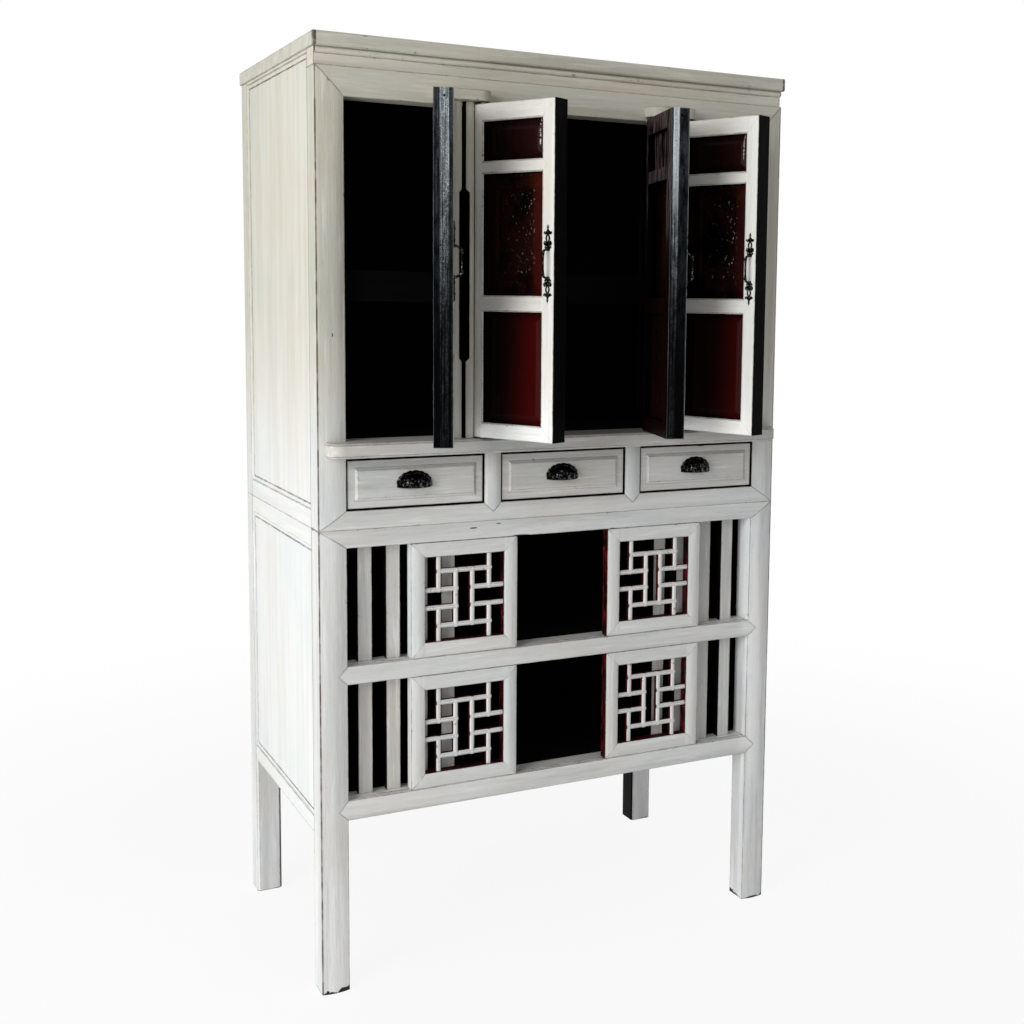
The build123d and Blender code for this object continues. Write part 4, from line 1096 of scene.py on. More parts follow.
def rod(build: bmesh.types.BMesh, points: Sequence[Vector], radii: Sequence[float], sides: int,
        axes: Callable[[Vector], tuple[Vector, Vector]]) -> None:
    """Round rod along a line of points.

    Args:
        build: mesh under construction.
        points: middle line.
        radii: radius at each point.
        sides: facets round the rod.
        axes: gives, for the way that the rod runs, the two directions across it.
    """
    rows = []
    for i, (point, radius) in enumerate(zip(points, radii)):
        run = (points[min(i + 1, len(points) - 1)] - points[max(i - 1, 0)]).normalized()
        first, second = axes(run)
        row = []
        for k in range(sides):
            turn = 2 * math.pi * k / sides
            row.append(build.verts.new(point + radius * (math.cos(turn) * first + math.sin(turn) * second)))
        rows.append(row)
    grid_faces(build, rows, True)
    build.faces.new(list(reversed(rows[0])))
    build.faces.new(rows[-1])


def dome(build: bmesh.types.BMesh, middle: Vector, wide: float, high: float, rise: float,
         lobes: int = 0, depth: float = 0.0, turn: float = 0.0, sides: int = 24) -> None:
    """Low boss on a front face: an ellipse, or a rosette with lobes, that swells towards -Y.

    Args:
        build: mesh under construction.
        middle: middle of its foot.
        wide: half width.
        high: half height.
        rise: how far it swells forward.
        lobes: number of lobes, or 0.
        depth: how deep the lobes are cut, as a share.
        turn: turn of the lobes in radians.
        sides: points round it.
    """
    tiers = 4
    rows = []
    for tier in range(tiers):
        lift = math.pi / 2 * tier / tiers
        row = []
        for k in range(sides):
            angle = 2 * math.pi * k / sides
            cut = 1 - depth * (0.5 - 0.5 * math.cos(lobes * (angle - turn))) if lobes else 1.0
            shrink = math.cos(lift) * cut
            row.append(build.verts.new((middle.x + wide * shrink * math.cos(angle),
                                        middle.y - rise * math.sin(lift),
                                        middle.z + high * shrink * math.sin(angle))))
        rows.append(row)
    grid_faces(build, rows, True)
    top = build.verts.new((middle.x, middle.y - rise, middle.z))
    for k in range(sides):
        build.faces.new([rows[-1][k], rows[-1][(k + 1) % sides], top])
    build.faces.new(list(reversed(rows[0])))


def as_mesh(build: bmesh.types.BMesh, name: str) -> bpy.types.Mesh:
    """Ends a build.

    Args:
        build: mesh under construction; it is freed.
        name: the mesh's name.

    Returns:
        The mesh, its faces outwards.
    """
    bmesh.ops.recalc_face_normals(build, faces=build.faces)
    mesh = bpy.data.meshes.new(name)
    build.to_mesh(mesh)
    build.free()
    return mesh


# ------------------------------------------------------------------------------------- carving
@dataclass
class CarvedPanel:
    """A door's middle panel: a bevelled border round a vase of blossoms and leaves between scrolls.

    It is drawn as a height over the panel's border, u across and v up from the panel's middle.
    Each ornament is the share of the full height at every u and v, 0 beside it.
    """

    wide: float = FREE_IN - HINGE_IN
    high: float = CARVED[1] - CARVED[0]
    pitch: float = 0.00105
    margin: float = 0.007       # flat border
    bevel: float = 0.020        # slope from the border up to the rim
    rim: float = 0.0025
    rim_rise: float = 0.0060
    sunk: float = 0.0024        # ground of the carving over the border
    rise: float = 0.0046        # carving over its ground
    squeeze: tuple[float, float] = (0.66, 0.76)     # carved field as a share of the drawing
    thick: float = 0.010
    vase_foot: float = 0.022    # vase's foot over the drawing's lower edge
    vase_high: float = 0.050
    leaves: int = 7             # round each blossom
    seed: int = 7

    def petal(self, u: np.ndarray, v: np.ndarray, at: tuple[float, float], turn: float, long: float,
              wide: float) -> np.ndarray:
        """Pointed, ribbed leaf or petal.

        Args:
            u: places across.
            v: places up.
            at: its foot.
            turn: way that it points, in radians.
            long: its length.
            wide: its half width.

        Returns:
            Its height share.
        """
        du, dv = u - at[0], v - at[1]
        a = (du * math.cos(turn) + dv * math.sin(turn)) / long
        b = (-du * math.sin(turn) + dv * math.cos(turn)) / wide
        body = 1 - (2 * a - 1) ** 2
        half = np.sqrt(np.clip(body, 0, 1))
        inside = np.clip(1 - (np.abs(b) / np.maximum(half, 1e-4)) ** 2.4, 0, 1) * (body > 0)
        rib = 0.22 * np.exp(-((b / 0.14) ** 2)) + 0.10 * np.cos(9 * a + 6 * np.abs(b))
        return inside ** 0.5 * (0.75 - rib)

    def blossom(self, u: np.ndarray, v: np.ndarray, at: tuple[float, float], size: float, petals: int,
                turn: float) -> np.ndarray:
        """Open flower with rings of petals round a button.

        Args:
            u: places across.
            v: places up.
            at: its middle.
            size: its radius.
            petals: petals in a ring.
            turn: turn of the petals, in radians.

        Returns:
            Its height share.
        """
        du, dv = u - at[0], v - at[1]
        radius = np.hypot(du, dv) / size
        angle = np.arctan2(dv, du)
        height = np.zeros_like(u)
        for reach, lift, phase in ((1.0, 0.72, 0.0), (0.66, 0.90, 0.5), (0.36, 1.0, 0.0)):
            wave = np.abs(np.cos(petals * 0.5 * (angle + turn + phase * math.pi / petals)))
            edge = reach * (0.74 + 0.26 * wave)
            petal = np.clip(1 - (radius / edge) ** 4, 0, 1) ** 0.5
            cupped = lift * (0.62 + 0.38 * (radius / edge)) * (0.72 + 0.28 * wave ** 0.6)
            height = np.maximum(height, petal * cupped)
        button = np.clip(1 - (radius / 0.17) ** 2, 0, 1) ** 0.5
        return np.maximum(height, 0.95 * button)

    def stem(self, u: np.ndarray, v: np.ndarray, points: Sequence[tuple[float, float]],
             wide: float) -> np.ndarray:
        """Round stem.

        Args:
            u: places across.
            v: places up.
            points: what it runs through.
            wide: its half width.

        Returns:
            Its height share.
        """
        height = np.zeros_like(u)
        for (u0, v0), (u1, v1) in zip(points, points[1:]):
            run = max((u1 - u0) ** 2 + (v1 - v0) ** 2, 1e-12)
            t = np.clip(((u - u0) * (u1 - u0) + (v - v0) * (v1 - v0)) / run, 0, 1)
            away = np.hypot(u - u0 - t * (u1 - u0), v - v0 - t * (v1 - v0)) / wide
            height = np.maximum(height, np.clip(1 - away ** 2, 0, 1) ** 0.5)
        return 0.62 * height

    def curl(self, u: np.ndarray, v: np.ndarray, at: tuple[float, float], size: float, hand: int,
             start: float) -> np.ndarray:
        """Scroll that winds inwards.

        Args:
            u: places across.
            v: places up.
            at: its middle.
            size: its outer radius.
            hand: 1 or -1, the way that it winds.
            start: where it starts, in radians.

        Returns:
            Its height share.
        """
        points = []
        steps = 25
        for k in range(steps + 1):
            share = k / steps
            radius = size * (1 - 0.86 * share)
            angle = start + hand * share * 3.2 * math.pi
            points.append((at[0] + radius * math.cos(angle), at[1] + radius * math.sin(angle)))
        return self.stem(u, v, points, size * 0.17)

    def vase(self, u: np.ndarray, v: np.ndarray) -> np.ndarray:
        """Vase at the foot of the panel.

        Args:
            u: places across.
            v: places up.

        Returns:
            Its height share.
        """
        t = (v + self.high / 2 - self.vase_foot) / self.vase_high
        profile = 0.010 + 0.012 * np.sin(np.clip(t, 0, 1) * math.pi) ** 0.8 - 0.004 * np.clip(t - 0.7, 0, 1)
        profile = np.where(t > 0.88, 0.0135, profile)
        profile = np.where(t < 0.08, 0.0125, profile)
        inside = np.clip(1 - (u / profile) ** 2, 0, 1) ** 0.5 * ((t >= 0) & (t <= 1))
        return inside * (0.85 + 0.10 * np.cos(t * 34))

    def drawing(self, u: np.ndarray, v: np.ndarray) -> np.ndarray:
        """Draws the whole carving.

        Args:
            u: places across the drawing.
            v: places up it.

        Returns:
            The height share at each place, 0 on the ground.
        """
        chance = random.Random(self.seed)
        trunk = ((0.0, -0.049), (0.006, -0.030), (-0.004, -0.008), (0.005, 0.014), (-0.003, 0.040),
                 (0.002, 0.066))
        parts = [self.vase(u, v), self.stem(u, v, trunk, 0.0024)]
        blossoms = (((0.004, 0.004), 0.0225, 8), ((-0.030, 0.040), 0.0185, 7), ((0.031, 0.046), 0.0190, 7),
                    ((-0.034, -0.022), 0.0165, 6), ((0.036, -0.026), 0.0170, 6), ((0.000, 0.076), 0.0200, 8),
                    ((-0.042, 0.084), 0.0120, 5), ((0.043, 0.088), 0.0125, 5))
        for at, size, petals in blossoms:
            root = min(trunk, key=lambda p: abs(p[1] - at[1] + 0.016))
            bend = ((root[0] + at[0]) / 2, root[1] + 0.3 * (at[1] - root[1]) - 0.003)
            parts.append(self.stem(u, v, [root, bend, at], 0.0019))
            for k in range(self.leaves):
                turn = 2 * math.pi * k / self.leaves + chance.uniform(-0.35, 0.35)
                reach = size * chance.uniform(1.45, 1.85)
                start = (at[0] + 0.3 * size * math.cos(turn), at[1] + 0.3 * size * math.sin(turn))
                parts.append(0.80 * self.petal(u, v, start, turn, reach, size * 0.36))
            parts.append(self.blossom(u, v, at, size, petals, chance.uniform(0, 1)))
        for hand in (-1, 1):
            for out, up, size, wind, start, share in ((0.030, -0.078, 0.0150, 1, math.pi / 2, 0.8),
                                                      (0.050, -0.060, 0.0085, -1, 0.0, 0.8),
                                                      (0.052, 0.012, 0.0080, 1, math.pi, 0.7),
                                                      (0.022, 0.100, 0.0075, 1, math.pi, 0.7)):
                parts.append(share * self.curl(u, v, (hand * out, up), size, hand * wind, start))
            for k in range(5):
                place = (hand * (0.022 + 0.010 * k), -0.100 + 0.004 * (k % 2))
                parts.append(0.7 * self.petal(u, v, place, math.pi / 2, 0.016, 0.005))
        return np.maximum.reduce(parts)

    def heights(self, u: np.ndarray, v: np.ndarray) -> np.ndarray:
        """Height over the border in metres.

        Args:
            u: places across the panel.
            v: places up it.

        Returns:
            The height at each place.
        """
        side = np.minimum(self.wide / 2 - np.abs(u), self.high / 2 - np.abs(v))
        slope = np.clip((side - self.margin) / self.bevel, 0, 1) * self.rim_rise
        within = side - self.margin - self.bevel - self.rim
        carved = self.drawing(u / self.squeeze[0], v / self.squeeze[1])
        pecked = 0.05 * np.sin(u * 2100) * np.sin(v * 2300) * (carved < 0.05)
        clear = np.clip((within - 0.0005) / 0.0015, 0, 1)
        field = self.sunk + self.rise * (carved * clear + pecked)
        share = np.clip(within / 0.0010, 0, 1)
        return slope * (1 - share) + field * share

    def mesh(self, hand: int) -> bpy.types.Mesh:
        """Mesh of the panel in a closed door's frame, its middle at X = Z = 0, ground at Y = 0.

        Args:
            hand: 1 or -1; the carving of a pair of doors mirrors.

        Returns:
            The mesh, with the relief towards -Y and a plain board behind.
        """
        columns = int(self.wide / self.pitch) + 1
        rows = int(self.high / self.pitch) + 1
        across = np.linspace(-self.wide / 2, self.wide / 2, columns)
        up = np.linspace(-self.high / 2, self.high / 2, rows)
        u, v = np.meshgrid(across, up)
        front = np.stack([u, -self.heights(hand * u, v), v], axis=-1).reshape(-1, 3)
        behind = [(x * self.wide / 2, self.thick, z * self.high / 2) for z in (-1, 1) for x in (-1, 1)]
        faces = []
        for r in range(rows - 1):
            for c in range(columns - 1):
                i = r * columns + c
                faces.append((i, i + 1, i + columns + 1, i + columns))
        base = rows * columns
        low = range(columns)
        top = range((rows - 1) * columns, base)
        left = range(0, base, columns)
        right = range(columns - 1, base, columns)
        faces += [(base + 1, base, base + 2, base + 3), (*reversed(low), base, base + 1),
                  (*top, base + 3, base + 2), (*left, base + 2, base), (*reversed(right), base + 1, base + 3)]
        mesh = bpy.data.meshes.new("carving")
        mesh.from_pydata([tuple(map(float, point)) for point in front] + behind, [], faces)
        mesh.update()
        return mesh


# ------------------------------------------------------------------------------------ castings
@dataclass
class BarPull:
    """Cast bar pull of a door: two openwork plates with finials and a thin grip between them.

    It is drawn on a closed door's face: X across, Z up from the pull's middle, face at Y = 0.
    """

    half: float = 0.0745        # middle to the finials' tips
    foot: float = 0.029         # middle to the grip's feet
    stand: float = 0.0180       # how far the grip stands out
    grip: float = 0.0025
    plate: float = 0.0034
    broad: float = 1.35         # plates' width, as a share of the drawing's

    def mesh(self) -> bpy.types.Mesh:
        """Makes the whole pull.

        Returns:
            Its mesh.
        """
        build = bmesh.new()
        for up in (-1, 1):
            self.plate_end(build, up)
        out = -self.stand + self.grip
        line = [(0.0, self.foot), (-0.004, self.foot), (-0.0085, 0.0268), (out * 0.86, 0.0245), (out, 0.0205),
                (out, 0.010), (out, 0.0)]
        radii = [0.0036, 0.0030, 0.0022, 0.0026, 0.0030, 0.0019, 0.0022]
        points = [Vector((0, y, z)) for y, z in line]
        points += [Vector((0, y, -z)) for y, z in reversed(line[:-1])]
        across = Vector(RIGHT)
        rod(build, points, radii + radii[-2::-1], 12, lambda run: (across, run.cross(across).normalized()))
        for z in (-0.0205, 0.0205):
            bmesh.ops.create_uvsphere(build, u_segments=12, v_segments=8, radius=0.0034,
                                      matrix=Matrix.Translation((0, out, z)))
        return as_mesh(build, "bar_pull")

    def plate_end(self, build: bmesh.types.BMesh, up: int) -> None:
        """One openwork plate, from its foot outwards.

        Args:
            build: mesh under construction.
            up: 1 for the upper plate, -1 for the lower one.
        """
        def at(x: float, z: float, y: float = 0.0) -> Vector:
            """Point of this plate."""
            return Vector((self.broad * x, y, up * z))

        turn = 0.0 if up > 0 else math.pi
        dome(build, at(0, 0.0290), 0.0066, 0.0054, self.plate, 5, 0.20, math.pi / 2 + turn)
        for hand in (-1, 1):
            dome(build, at(hand * 0.0046, 0.0320), 0.0022, 0.0022, 0.0024)
        dome(build, at(0, 0.0385), 0.0080, 0.0060, self.plate, 6, 0.26, turn, 30)
        curl = ((0.0030, 0.0350), (0.0056, 0.0368), (0.0064, 0.0400), (0.0050, 0.0428), (0.0032, 0.0420))
        side = ((0.0012, 0.0430), (0.0027, 0.0465), (0.0029, 0.0500), (0.0020, 0.0535), (0.0008, 0.0560))
        leaf = ((0.0015, 0.0585), (0.0046, 0.0570), (0.0066, 0.0592), (0.0058, 0.0618))
        strands = ((curl, -0.0012, 0.0015), (side, -0.0011, 0.0016), (leaf, -0.0011, 0.0014))
        for hand in (-1, 1):
            for line, out, radius in strands:
                self.strand(build, [at(hand * x, z, out) for x, z in line], radius)
        dome(build, at(0, 0.0600), 0.0068, 0.0062, self.plate, 4, 0.24, turn + math.pi / 2, 28)
        dome(build, at(0, 0.0600, -0.0020), 0.0020, 0.0022, 0.0024)
        spike = [at(0, 0.0640, -0.0010), at(0, 0.0668, -0.0012), at(0, 0.0692, -0.0012),
                 at(0, 0.0715, -0.0010), at(0, self.half, -0.0008)]
        self.strand(build, spike, 0.0021, (1.0, 0.7, 1.15, 0.75, 0.25))

    def strand(self, build: bmesh.types.BMesh, points: Sequence[Vector], radius: float,
               swell: Sequence[float] = ()) -> None:
        """Thin round strand along points that lie near the face.

        Args:
            build: mesh under construction.
            points: middle line.
            radius: radius of the strand.
            swell: share of the radius at each point, or none for a strand that tapers at its ends.
        """
        shares = swell or (0.65, *[1.0] * (len(points) - 2), 0.65)
        back = Vector(BACK)
        rod(build, points, [radius * share for share in shares], 8,
            lambda run: (run.cross(back).normalized(), back))


@dataclass
class CupPull:
    """Cast cup pull of a drawer: a fluted hood over a plate with a scalloped edge.

    Drawn with the middle of its lower edge at the origin, its back on Y = 0.
    """

    half_wide: float = 0.0335   # hood
    deep: float = 0.022
    skirt: float = 0.0075
    lip: float = 0.18           # share of the way from lip to plate that the skirt takes
    rim: float = 0.0043         # plate round the hood
    plate: float = 0.002
    wall: float = 0.0016
    flutes: int = 17
    scallops: float = 8.5
    around: int = 102           # facets round the hood
    tiers: int = 22
    steps: int = 136            # facets round the plate
    bosses: tuple[tuple[float, float], ...] = ((1.57, 0.36), (1.05, 0.33), (2.09, 0.33), (0.62, 0.30),
                                               (2.52, 0.30))    # their turn and lift

    def ornament(self, turn: float, lift: float) -> float:
        """How far the ornament stands off the hood.

        Args:
            turn: 0 at the right end, pi at the left, round the front.
            lift: 0 at the lip to 1 at the plate.

        Returns:
            The rise in metres.
        """
        flute = 0.5 + 0.5 * math.cos(turn * self.flutes * 2)
        swell = 0.0020 * math.exp(-(((lift - 0.80) / 0.11) ** 2)) * flute
        swell += 0.0010 * math.exp(-(((lift - 0.05) / 0.04) ** 2))
        swell += 0.0009 * math.exp(-(((lift - 0.55) / 0.03) ** 2))
        for at_turn, at_lift in self.bosses:
            away = math.hypot((turn - at_turn) * 1.25, (lift - at_lift) * 1.9)
            swell += 0.0019 * math.exp(-((away / 0.17) ** 2)) * (0.7 + 0.3 * math.cos(away * 44))
        return swell * math.sin(turn) ** 0.5

    def hood_point(self, turn: float, lift: float, inset: float) -> Vector:
        """Point of the hood.

        Args:
            turn: 0 at the right end, pi at the left, round the front.
            lift: 0 at the lip to 1 at the plate.
            inset: how far inside the outer face.

        Returns:
            The point.
        """
        rise = max(lift - self.lip, 0) / (1 - self.lip) * math.pi / 2
        drop = self.skirt * min(lift / self.lip - 1, 0)
        out = (self.deep - inset) * math.sin(turn)
        point = Vector(((self.half_wide - inset) * math.cos(turn), -out * math.cos(rise) - self.plate,
                        drop + out * math.sin(rise) + self.skirt))
        if inset:
            return point
        normal = Vector((math.cos(turn), -math.sin(turn) * math.cos(rise), math.sin(turn) * math.sin(rise)))
        return point + normal * self.ornament(turn, lift)

    def mesh(self) -> bpy.types.Mesh:
        """Makes the whole pull.

        Returns:
            Its mesh.
        """
        build = bmesh.new()
        turns = [math.pi * (0.004 + 0.992 * k / self.around) for k in range(self.around + 1)]
        lifts = [tier / self.tiers for tier in range(self.tiers + 1)]
        outer, inner = ([[build.verts.new(self.hood_point(turn, lift, inset)) for turn in turns]
                         for lift in lifts] for inset in (0.0, self.wall))
        for rows in (outer, inner, [outer[0], inner[0]], [outer[-1], inner[-1]]):
            grid_faces(build, rows, False)
        for end in (0, -1):
            grid_faces(build, [[row[end] for row in outer], [row[end] for row in inner]], False)
        outline = []
        for k in range(self.steps + 1):
            turn = math.pi * k / self.steps
            scallop = self.rim * (0.62 + 0.38 * abs(math.cos(turn * self.scallops)) ** 0.7)
            outline.append(((self.half_wide + scallop) * math.cos(turn),
                            self.skirt + (self.deep + scallop) * math.sin(turn)))
        outline = [(outline[0][0], 0.0), *outline, (outline[-1][0], 0.0)]
        front, middle, back = ([build.verts.new((x * share, -self.plate * out, z * share))
                                for x, z in outline] for share, out in ((0.985, 1.0), (1.0, 0.5), (1.0, 0.0)))
        build.faces.new(front)
        build.faces.new(list(reversed(back)))
        grid_faces(build, [front, middle, back], True)
        return as_mesh(build, "cup_pull")


# ------------------------------------------------------------------------------- sub-assemblies
@dataclass(frozen=True)
class Lamp:
    """A rectangular soft lamp."""

    name: str
    place: tuple[float, float, float]
    target: tuple[float, float, float]
    size: tuple[float, float]
    power: float
    colour: tuple[float, float, float]

    def hang(self) -> None:
        """Hangs the lamp and turns it to its target."""
        data = bpy.data.lights.new(self.name, "AREA")
        data.shape = "RECTANGLE"
        data.size, data.size_y = self.size
        data.energy = self.power
        data.color = self.colour
        lamp = bpy.data.objects.new(self.name, data)
        bpy.context.scene.collection.objects.link(lamp)
        lamp.location = self.place
        lamp.rotation_euler = (Vector(self.target) - Vector(self.place)).to_track_quat("-Z", "Y").to_euler()


@dataclass
class Studio:
    """Camera, floor, lamps and the light of the room."""

    eye: tuple[float, float, float] = (-1.2526, FACE - 2.5926, 1.4073)
    turns: tuple[float, float, float] = (28.25, -5.98, 0.80)    # yaw, pitch and roll in degrees
    lens: float = 48.105
    shift: tuple[float, float] = (-0.1095, -0.0684)
    room: float = 0.40
    room_colour: Colour = (0.985, 0.99, 1.0, 1.0)
    floor_cells: int = 8
    floor_cell: float = 5.0
    shaded: tuple[float, float] = (0.9, 3.0)    # how far the floor keeps a shadow, and where it is white
    lamps: tuple[Lamp, ...] = (
        Lamp("key_lamp", (-4.6, -2.4, 1.8), (0, 0, 1.1), (2.4, 3.0), 66.0, (1.0, 1.0, 1.0)),
        Lamp("low_lamp", (-2.7, -0.9, 0.35), (0, 0, 0.35), (1.6, 0.6), 15.0, (0.94, 0.985, 1.0)),
        Lamp("high_lamp", (-4.2, -2.6, 2.9), (0, 0, 1.3), (2.0, 2.0), 70.0, (1.0, 0.995, 0.985)))

    def aim(self) -> Matrix:
        """Works out how the camera stands.

        Returns:
            Its place and turn.
        """
        yaw, pitch, roll = (math.radians(a) for a in self.turns)
        ahead = Vector((math.sin(yaw) * math.cos(pitch), math.cos(yaw) * math.cos(pitch), math.sin(pitch)))
        right = Vector((math.cos(yaw), -math.sin(yaw), 0))
        above = right.cross(ahead)
        turned_right = math.cos(roll) * right + math.sin(roll) * above
        turned_above = -math.sin(roll) * right + math.cos(roll) * above
        turn = Matrix((turned_right, turned_above, -ahead)).transposed()
        return Matrix.Translation(self.eye) @ turn.to_4x4()

    def camera(self) -> None:
        """Makes the camera."""
        data = bpy.data.cameras.new("camera")
        data.sensor_width = 36.0
        data.lens = self.lens
        data.shift_x, data.shift_y = self.shift
        camera = bpy.data.objects.new("camera", data)
        bpy.context.scene.collection.objects.link(camera)
        camera.matrix_world = self.aim()
        bpy.context.scene.camera = camera

    def looked_at(self, nodes: bpy.types.Nodes, links: bpy.types.NodeLinks) -> Socket:
        """1 where a surface is looked at, straight or in a mirror or through glass, and not for its light.

        Args:
            nodes: nodes of the material or world.
            links: its links.

        Returns:
            The mask.
        """
        path = nodes.new("ShaderNodeLightPath")
        seen = path.outputs["Is Camera Ray"]
        for ray in ("Is Glossy Ray", "Is Transmission Ray"):
            either = nodes.new("ShaderNodeMath")
            either.operation = "MAXIMUM"
            links.new(seen, either.inputs[0])
            links.new(path.outputs[ray], either.inputs[1])
            seen = either.outputs[0]
        return seen

    def floor(self) -> None:
        """Pale floor that keeps a soft shadow near the cupboard and is white further out."""
        build = bmesh.new()
        marks = [self.floor_cell * (k - self.floor_cells / 2) for k in range(self.floor_cells + 1)]
        grid_faces(build, [[build.verts.new((x, y, 0.0)) for x in marks] for y in marks], False)
        paint = Paintwork("pale_floor")
        cloud = paint.noise(paint.position, 1.5)
        paint.gloss(0.0)
        colour = paint.blend(cloud, tone(236, 236, 236), tone(243, 243, 242))
        paint.finish(colour, paint.between(cloud, 0.85, 0.95))
        glow = paint.nodes.new("ShaderNodeEmission")
        over = paint.nodes.new("ShaderNodeMixShader")
        span = paint.nodes.new("ShaderNodeVectorMath")
        span.operation = "LENGTH"
        paint.links.new(paint.position, span.inputs[0])
        open_floor = paint.step(span.outputs["Value"], *self.shaded)
        share = paint.times(self.looked_at(paint.nodes, paint.links), paint.between(open_floor, 0.90, 1.0))
        paint.links.new(share, over.inputs[0])
        paint.links.new(paint.shader.outputs[0], over.inputs[1])
        paint.links.new(glow.outputs[0], over.inputs[2])
        paint.links.new(over.outputs[0], paint.nodes["Material Output"].inputs["Surface"])
        floor = shown("floor", as_mesh(build, "floor"), paint.material, False)

    def surround(self) -> None:
        """Even light of a pale room, seen as white."""
        world = bpy.data.worlds.new("room")
        bpy.context.scene.world = world
        world.use_nodes = True
        nodes, links = world.node_tree.nodes, world.node_tree.links
        nodes.clear()
        out = nodes.new("ShaderNodeOutputWorld")
        pick = nodes.new("ShaderNodeMixShader")
        links.new(self.looked_at(nodes, links), pick.inputs[0])
        for place, (colour, strength) in enumerate(((self.room_colour, self.room), ((1, 1, 1, 1), 1.0)), 1):
            light = nodes.new("ShaderNodeBackground")
            light.inputs["Color"].default_value = colour
            light.inputs["Strength"].default_value = strength
            links.new(light.outputs[0], pick.inputs[place])
        links.new(pick.outputs[0], out.inputs["Surface"])

    def build(self) -> None:
        """Sets up the whole studio."""
        bpy.context.scene.view_settings.view_transform = "Standard"
        self.camera()
        self.surround()
        self.floor()
        for lamp in self.lamps:
            lamp.hang()
        LOG.info("studio: camera, floor, three lamps")


@dataclass(frozen=True)
class Coated:
    """Nodes of the carcass that share one kind of whitewash."""

    nodes: tuple[str, ...]
    grain: Grain
    bare: Bare
    shift: float
    wash: Wash = Wash()

    def dress(self) -> None:
        """Gives each node its own whitewash."""
        for k, node in enumerate(self.nodes):
            dress(node, Whitewash(f"wash_{node}", self.grain, self.bare, self.shift + k, self.wash).make())


# SIDE_WASH is a paler copy of the wash, painted light on the sides lit from the left; SILL_WASH and SLAT_WASH
# are darker copies, painted shade on the sill's front and the recessed slats.
SIDE_WASH = Wash(pale=tone(238, 238, 236), grey=tone(224, 224, 221), aged_shaded=tone(217, 214, 202),
                 aged_shaded_grey=tone(201, 197, 183), patch_share=0.60, streak_share=0.14, hair_share=0.16,
                 scratch_share=0.20)
CROWN_WASH = Wash(aged_shaded=tone(222, 218, 205), aged_shaded_grey=tone(202, 196, 180))
SILL_WASH = Wash(pale=tone(208, 207, 204), grey=tone(190, 189, 185), aged_shaded=tone(200, 198, 190))
SLAT_WASH = Wash(pale=tone(214, 213, 209), grey=tone(196, 194, 189))


@dataclass
class Carcass:
    """The fixed frames, panels and boards of both cases."""

    coated: tuple[Coated, ...] = (
        Coated(("lower_posts_front", "upper_posts_front", "drawer_dividers"), Grain.UP, Bare.BEHIND, 1.3),
        Coated(("lower_top_rail", "lower_middle_rail", "lower_bottom_rail", "upper_top_rail",
                "upper_bottom_rail", "pivot_blocks"), Grain.ACROSS, Bare.BEHIND, 5.1),
        Coated(("lower_posts_back", "upper_posts_back"), Grain.UP, Bare.BACK_POSTS, 9.7),
        Coated(("lower_side_panels", "upper_side_panels"), Grain.UP, Bare.INNER_SIDES, 13.1, SIDE_WASH),
        Coated(("lower_side_rails", "upper_side_rails"), Grain.DEEP, Bare.INNER_SIDES, 17.9, SIDE_WASH),
        Coated(("cornice_frieze",), Grain.ACROSS, Bare.BEHIND, 12.3, CROWN_WASH),
        Coated(("sill",), Grain.ACROSS, Bare.BEHIND, 19.9, SILL_WASH),
        Coated(("top_board",), Grain.ACROSS, Bare.NOWHERE, 21.3),
        Coated(("lower_slats",), Grain.UP, Bare.OFF_FRONT, 24.7, SLAT_WASH),
        Coated(("pivot_posts",), Grain.UP, Bare.SLOTS, 27.1))
    inner_level: tuple[str, ...] = ("lower_back", "lower_shelves", "drawer_deck", "cupboard_floor", "shelf")

    def dress(self) -> None:
        """Gives every fixed node its finish."""
        for group in self.coated:
            group.dress()
        dark = DarkBoard("dark_boards", Grain.ACROSS).make()
        for node in self.inner_level:
            dress(node, dark)
        dress("upper_back", DarkBoard("dark_back_boards", Grain.UP).make())
        LOG.info("carcass: %d nodes dressed",
                 sum(len(group.nodes) for group in self.coated) + len(self.inner_level) + 1)


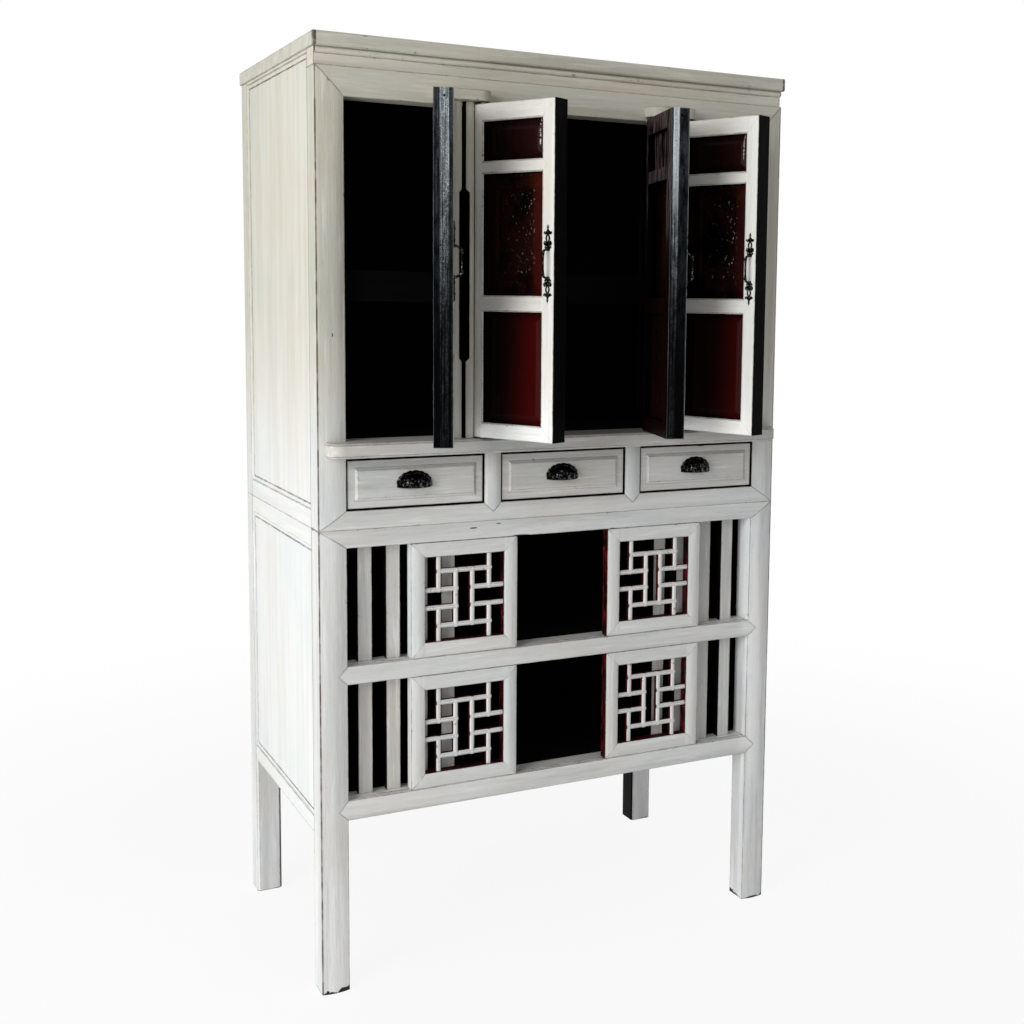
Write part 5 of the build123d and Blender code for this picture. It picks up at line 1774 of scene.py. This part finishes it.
@dataclass
class PivotDoor:
    """A panelled door of the upper case that turns on dowels."""

    name: str
    side: int                   # -1 left of the middle, 1 right of it
    hand: int                   # 1 hangs on its left edge, -1 on its right
    # sheen_strip places the painted highlight down its free edge, and solid how solid that highlight is at the
    # top.
    sheen_strip: tuple[float, float] = (0.0, 0.012)   # bright strip of its free edge
    solid: float = 0.0                          # how solid that strip is at the top
    # lit_redness: how strongly painted light reddens its panels.
    lit_redness: float = 1.0                        # how red its panels are
    panel_set: float = 0.0140   # panel's border behind the door's front
    pull_z: float = 1.4715

    def hang(self) -> Hang:
        """Works out how the door stands.

        Returns:
            Its pivot, and the ways that it runs and looks.
        """
        turn = math.radians(OPEN[self.name])
        return Hang(pivot=(self.side * BAY + self.hand * PIVOT_OFF, PIVOT_Y),
                    along=(self.hand * math.cos(turn), -math.sin(turn)),
                    facing=(-self.hand * math.sin(turn), -math.cos(turn)))

    def place(self) -> Matrix:
        """Turns a closed door's frame to where the door stands."""
        turn = math.radians(-self.hand * OPEN[self.name])
        return Matrix.Translation((*self.hang().pivot, 0)) @ Matrix.Rotation(turn, 4, "Z")

    def build(self, iron: bpy.types.Material, carving: bpy.types.Mesh, pull: bpy.types.Mesh) -> None:
        """Dresses the door and adds its carving and its pull.

        Args:
            iron: finish of the pull.
            carving: relief for this hand, round its own middle.
            pull: bar pull, round its own middle.
        """
        body = f"door_{self.name}"
        hang = self.hang()
        shift = 31.0 + 3.7 * ord(self.name)
        leaf = LeafPaint(f"leaf_paint_{self.name}", hang, self.hand < 0, self.sheen_strip, self.solid, shift)
        dress(f"{body}_frame", leaf.make())
        dress(f"{body}_plain_panels", Lacquer(f"lacquer_{self.name}", hang, self.lit_redness).make())
        low, high = CARVED
        middle = self.hand * (HINGE_IN + FREE_IN) / 2
        set_in = Matrix.Translation((middle, -LEAF_R + self.panel_set, (low + high) / 2))
        carving.transform(self.place() @ set_in)
        finish = CarvedLacquer(f"carved_lacquer_{self.name}", hang, self.lit_redness ** 2, high)
        panel = shown(f"{body}_carving", carving, finish.make())
        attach(panel, body)
        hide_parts(f"{body}_carved_panel")
        grip = shown(f"{body}_bar_pull", pull, iron)
        grip.matrix_world = self.place() @ Matrix.Translation((self.hand * FREE_MIDDLE, -LEAF_R, self.pull_z))
        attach(grip, body)
        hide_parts(f"{body}_pull")
        LOG.info("%s: frame, panels, carving, pull", body)


@dataclass
class SlidingDoor:
    """A lattice door of the lower case that runs in grooves."""

    name: str
    left: float                 # its left edge
    shift: float                # moves the paint's pattern
    lattice_wash: Wash = Wash(patch_share=0.3, streak_share=0.2, line_share=0.7, arris_radius=0.0012)
    lattice_side: Colour = tone(66, 20, 16)

    def dress(self) -> None:
        """Gives the frame and the lattice their paint."""
        frame_paint = SliderPaint(f"slider_paint_{self.name}", self.left, self.left + SLIDER_WIDE, self.shift,
                                  self.left < 0)
        dress(f"slider_{self.name}_frame", frame_paint.make())
        lattice = Whitewash(f"lattice_paint_{self.name}", Grain.UP, Bare.OFF_FRONT, self.shift + 1,
                            self.lattice_wash, self.lattice_side)
        dress(f"slider_{self.name}_lattice", lattice.make())
        LOG.info("slider_%s: frame, lattice", self.name)


@dataclass
class Drawer:
    """A drawer with a fielded front and a cup pull."""

    name: str
    middle: float
    shift: float                # moves the paint's pattern
    cup_shift: float = -0.006
    cup_z: float = 1.026
    cup_face: float = FACE + 0.003
    wash: Wash = Wash(pale=tone(218, 217, 214), grey=tone(200, 199, 195), arris_radius=0.0018)
    box_stain: tuple[Colour, Colour] = (tone(58, 40, 28), tone(96, 70, 50))

    def build(self, iron: bpy.types.Material, cup: bpy.types.Mesh) -> None:
        """Dresses the drawer and adds its pull.

        Args:
            iron: finish of the pull.
            cup: cup pull, round the middle of its lower edge.
        """
        body = f"drawer_{self.name}"
        front = Whitewash(f"wash_{body}", Grain.ACROSS, Bare.OFF_FRONT, self.shift, self.wash)
        dress(f"{body}_front", front.make())
        dress(f"{body}_box", DarkBoard(f"stain_{body}", Grain.DEEP, *self.box_stain).make())
        pull = shown(f"{body}_cup_pull", cup, iron)
        pull.matrix_world = Matrix.Translation((self.middle + self.cup_shift, self.cup_face, self.cup_z))
        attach(pull, body)
        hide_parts(f"{body}_pull")
        LOG.info("%s: front, box, cup pull", body)


def main() -> None:
    """Builds the studio and every sub-assembly."""
    logging.basicConfig(level=logging.INFO, format="%(name)s %(message)s")
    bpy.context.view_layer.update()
    Studio().build()
    Carcass().dress()
    iron = BlackIron().make()
    panel = CarvedPanel()
    pull = BarPull().mesh()
    doors = (PivotDoor("a", -1, -1, (0.002, 0.0085), 0.25), PivotDoor("b", -1, 1),
             PivotDoor("c", 1, -1, (-0.0088, 0.0062), 0.90), PivotDoor("d", 1, 1, lit_redness=0.7))
    for door in doors:
        door.build(iron, panel.mesh(door.hand), pull)
    edges = (("left", -SLIDER_IN - SLIDER_WIDE), ("right", SLIDER_IN))
    for k, (tier, (place, left)) in enumerate(product(("lower", "upper"), edges)):
        SlidingDoor(f"{tier}_{place}", left, 51.0 + 2.3 * k).dress()
    cup = CupPull().mesh()
    for k, name in enumerate(("left", "middle", "right")):
        Drawer(name, (k - 1) * DRAWER_PITCH, 71.0 + 1.9 * k).build(iron, cup)


if __name__ == "__main__":
    main()
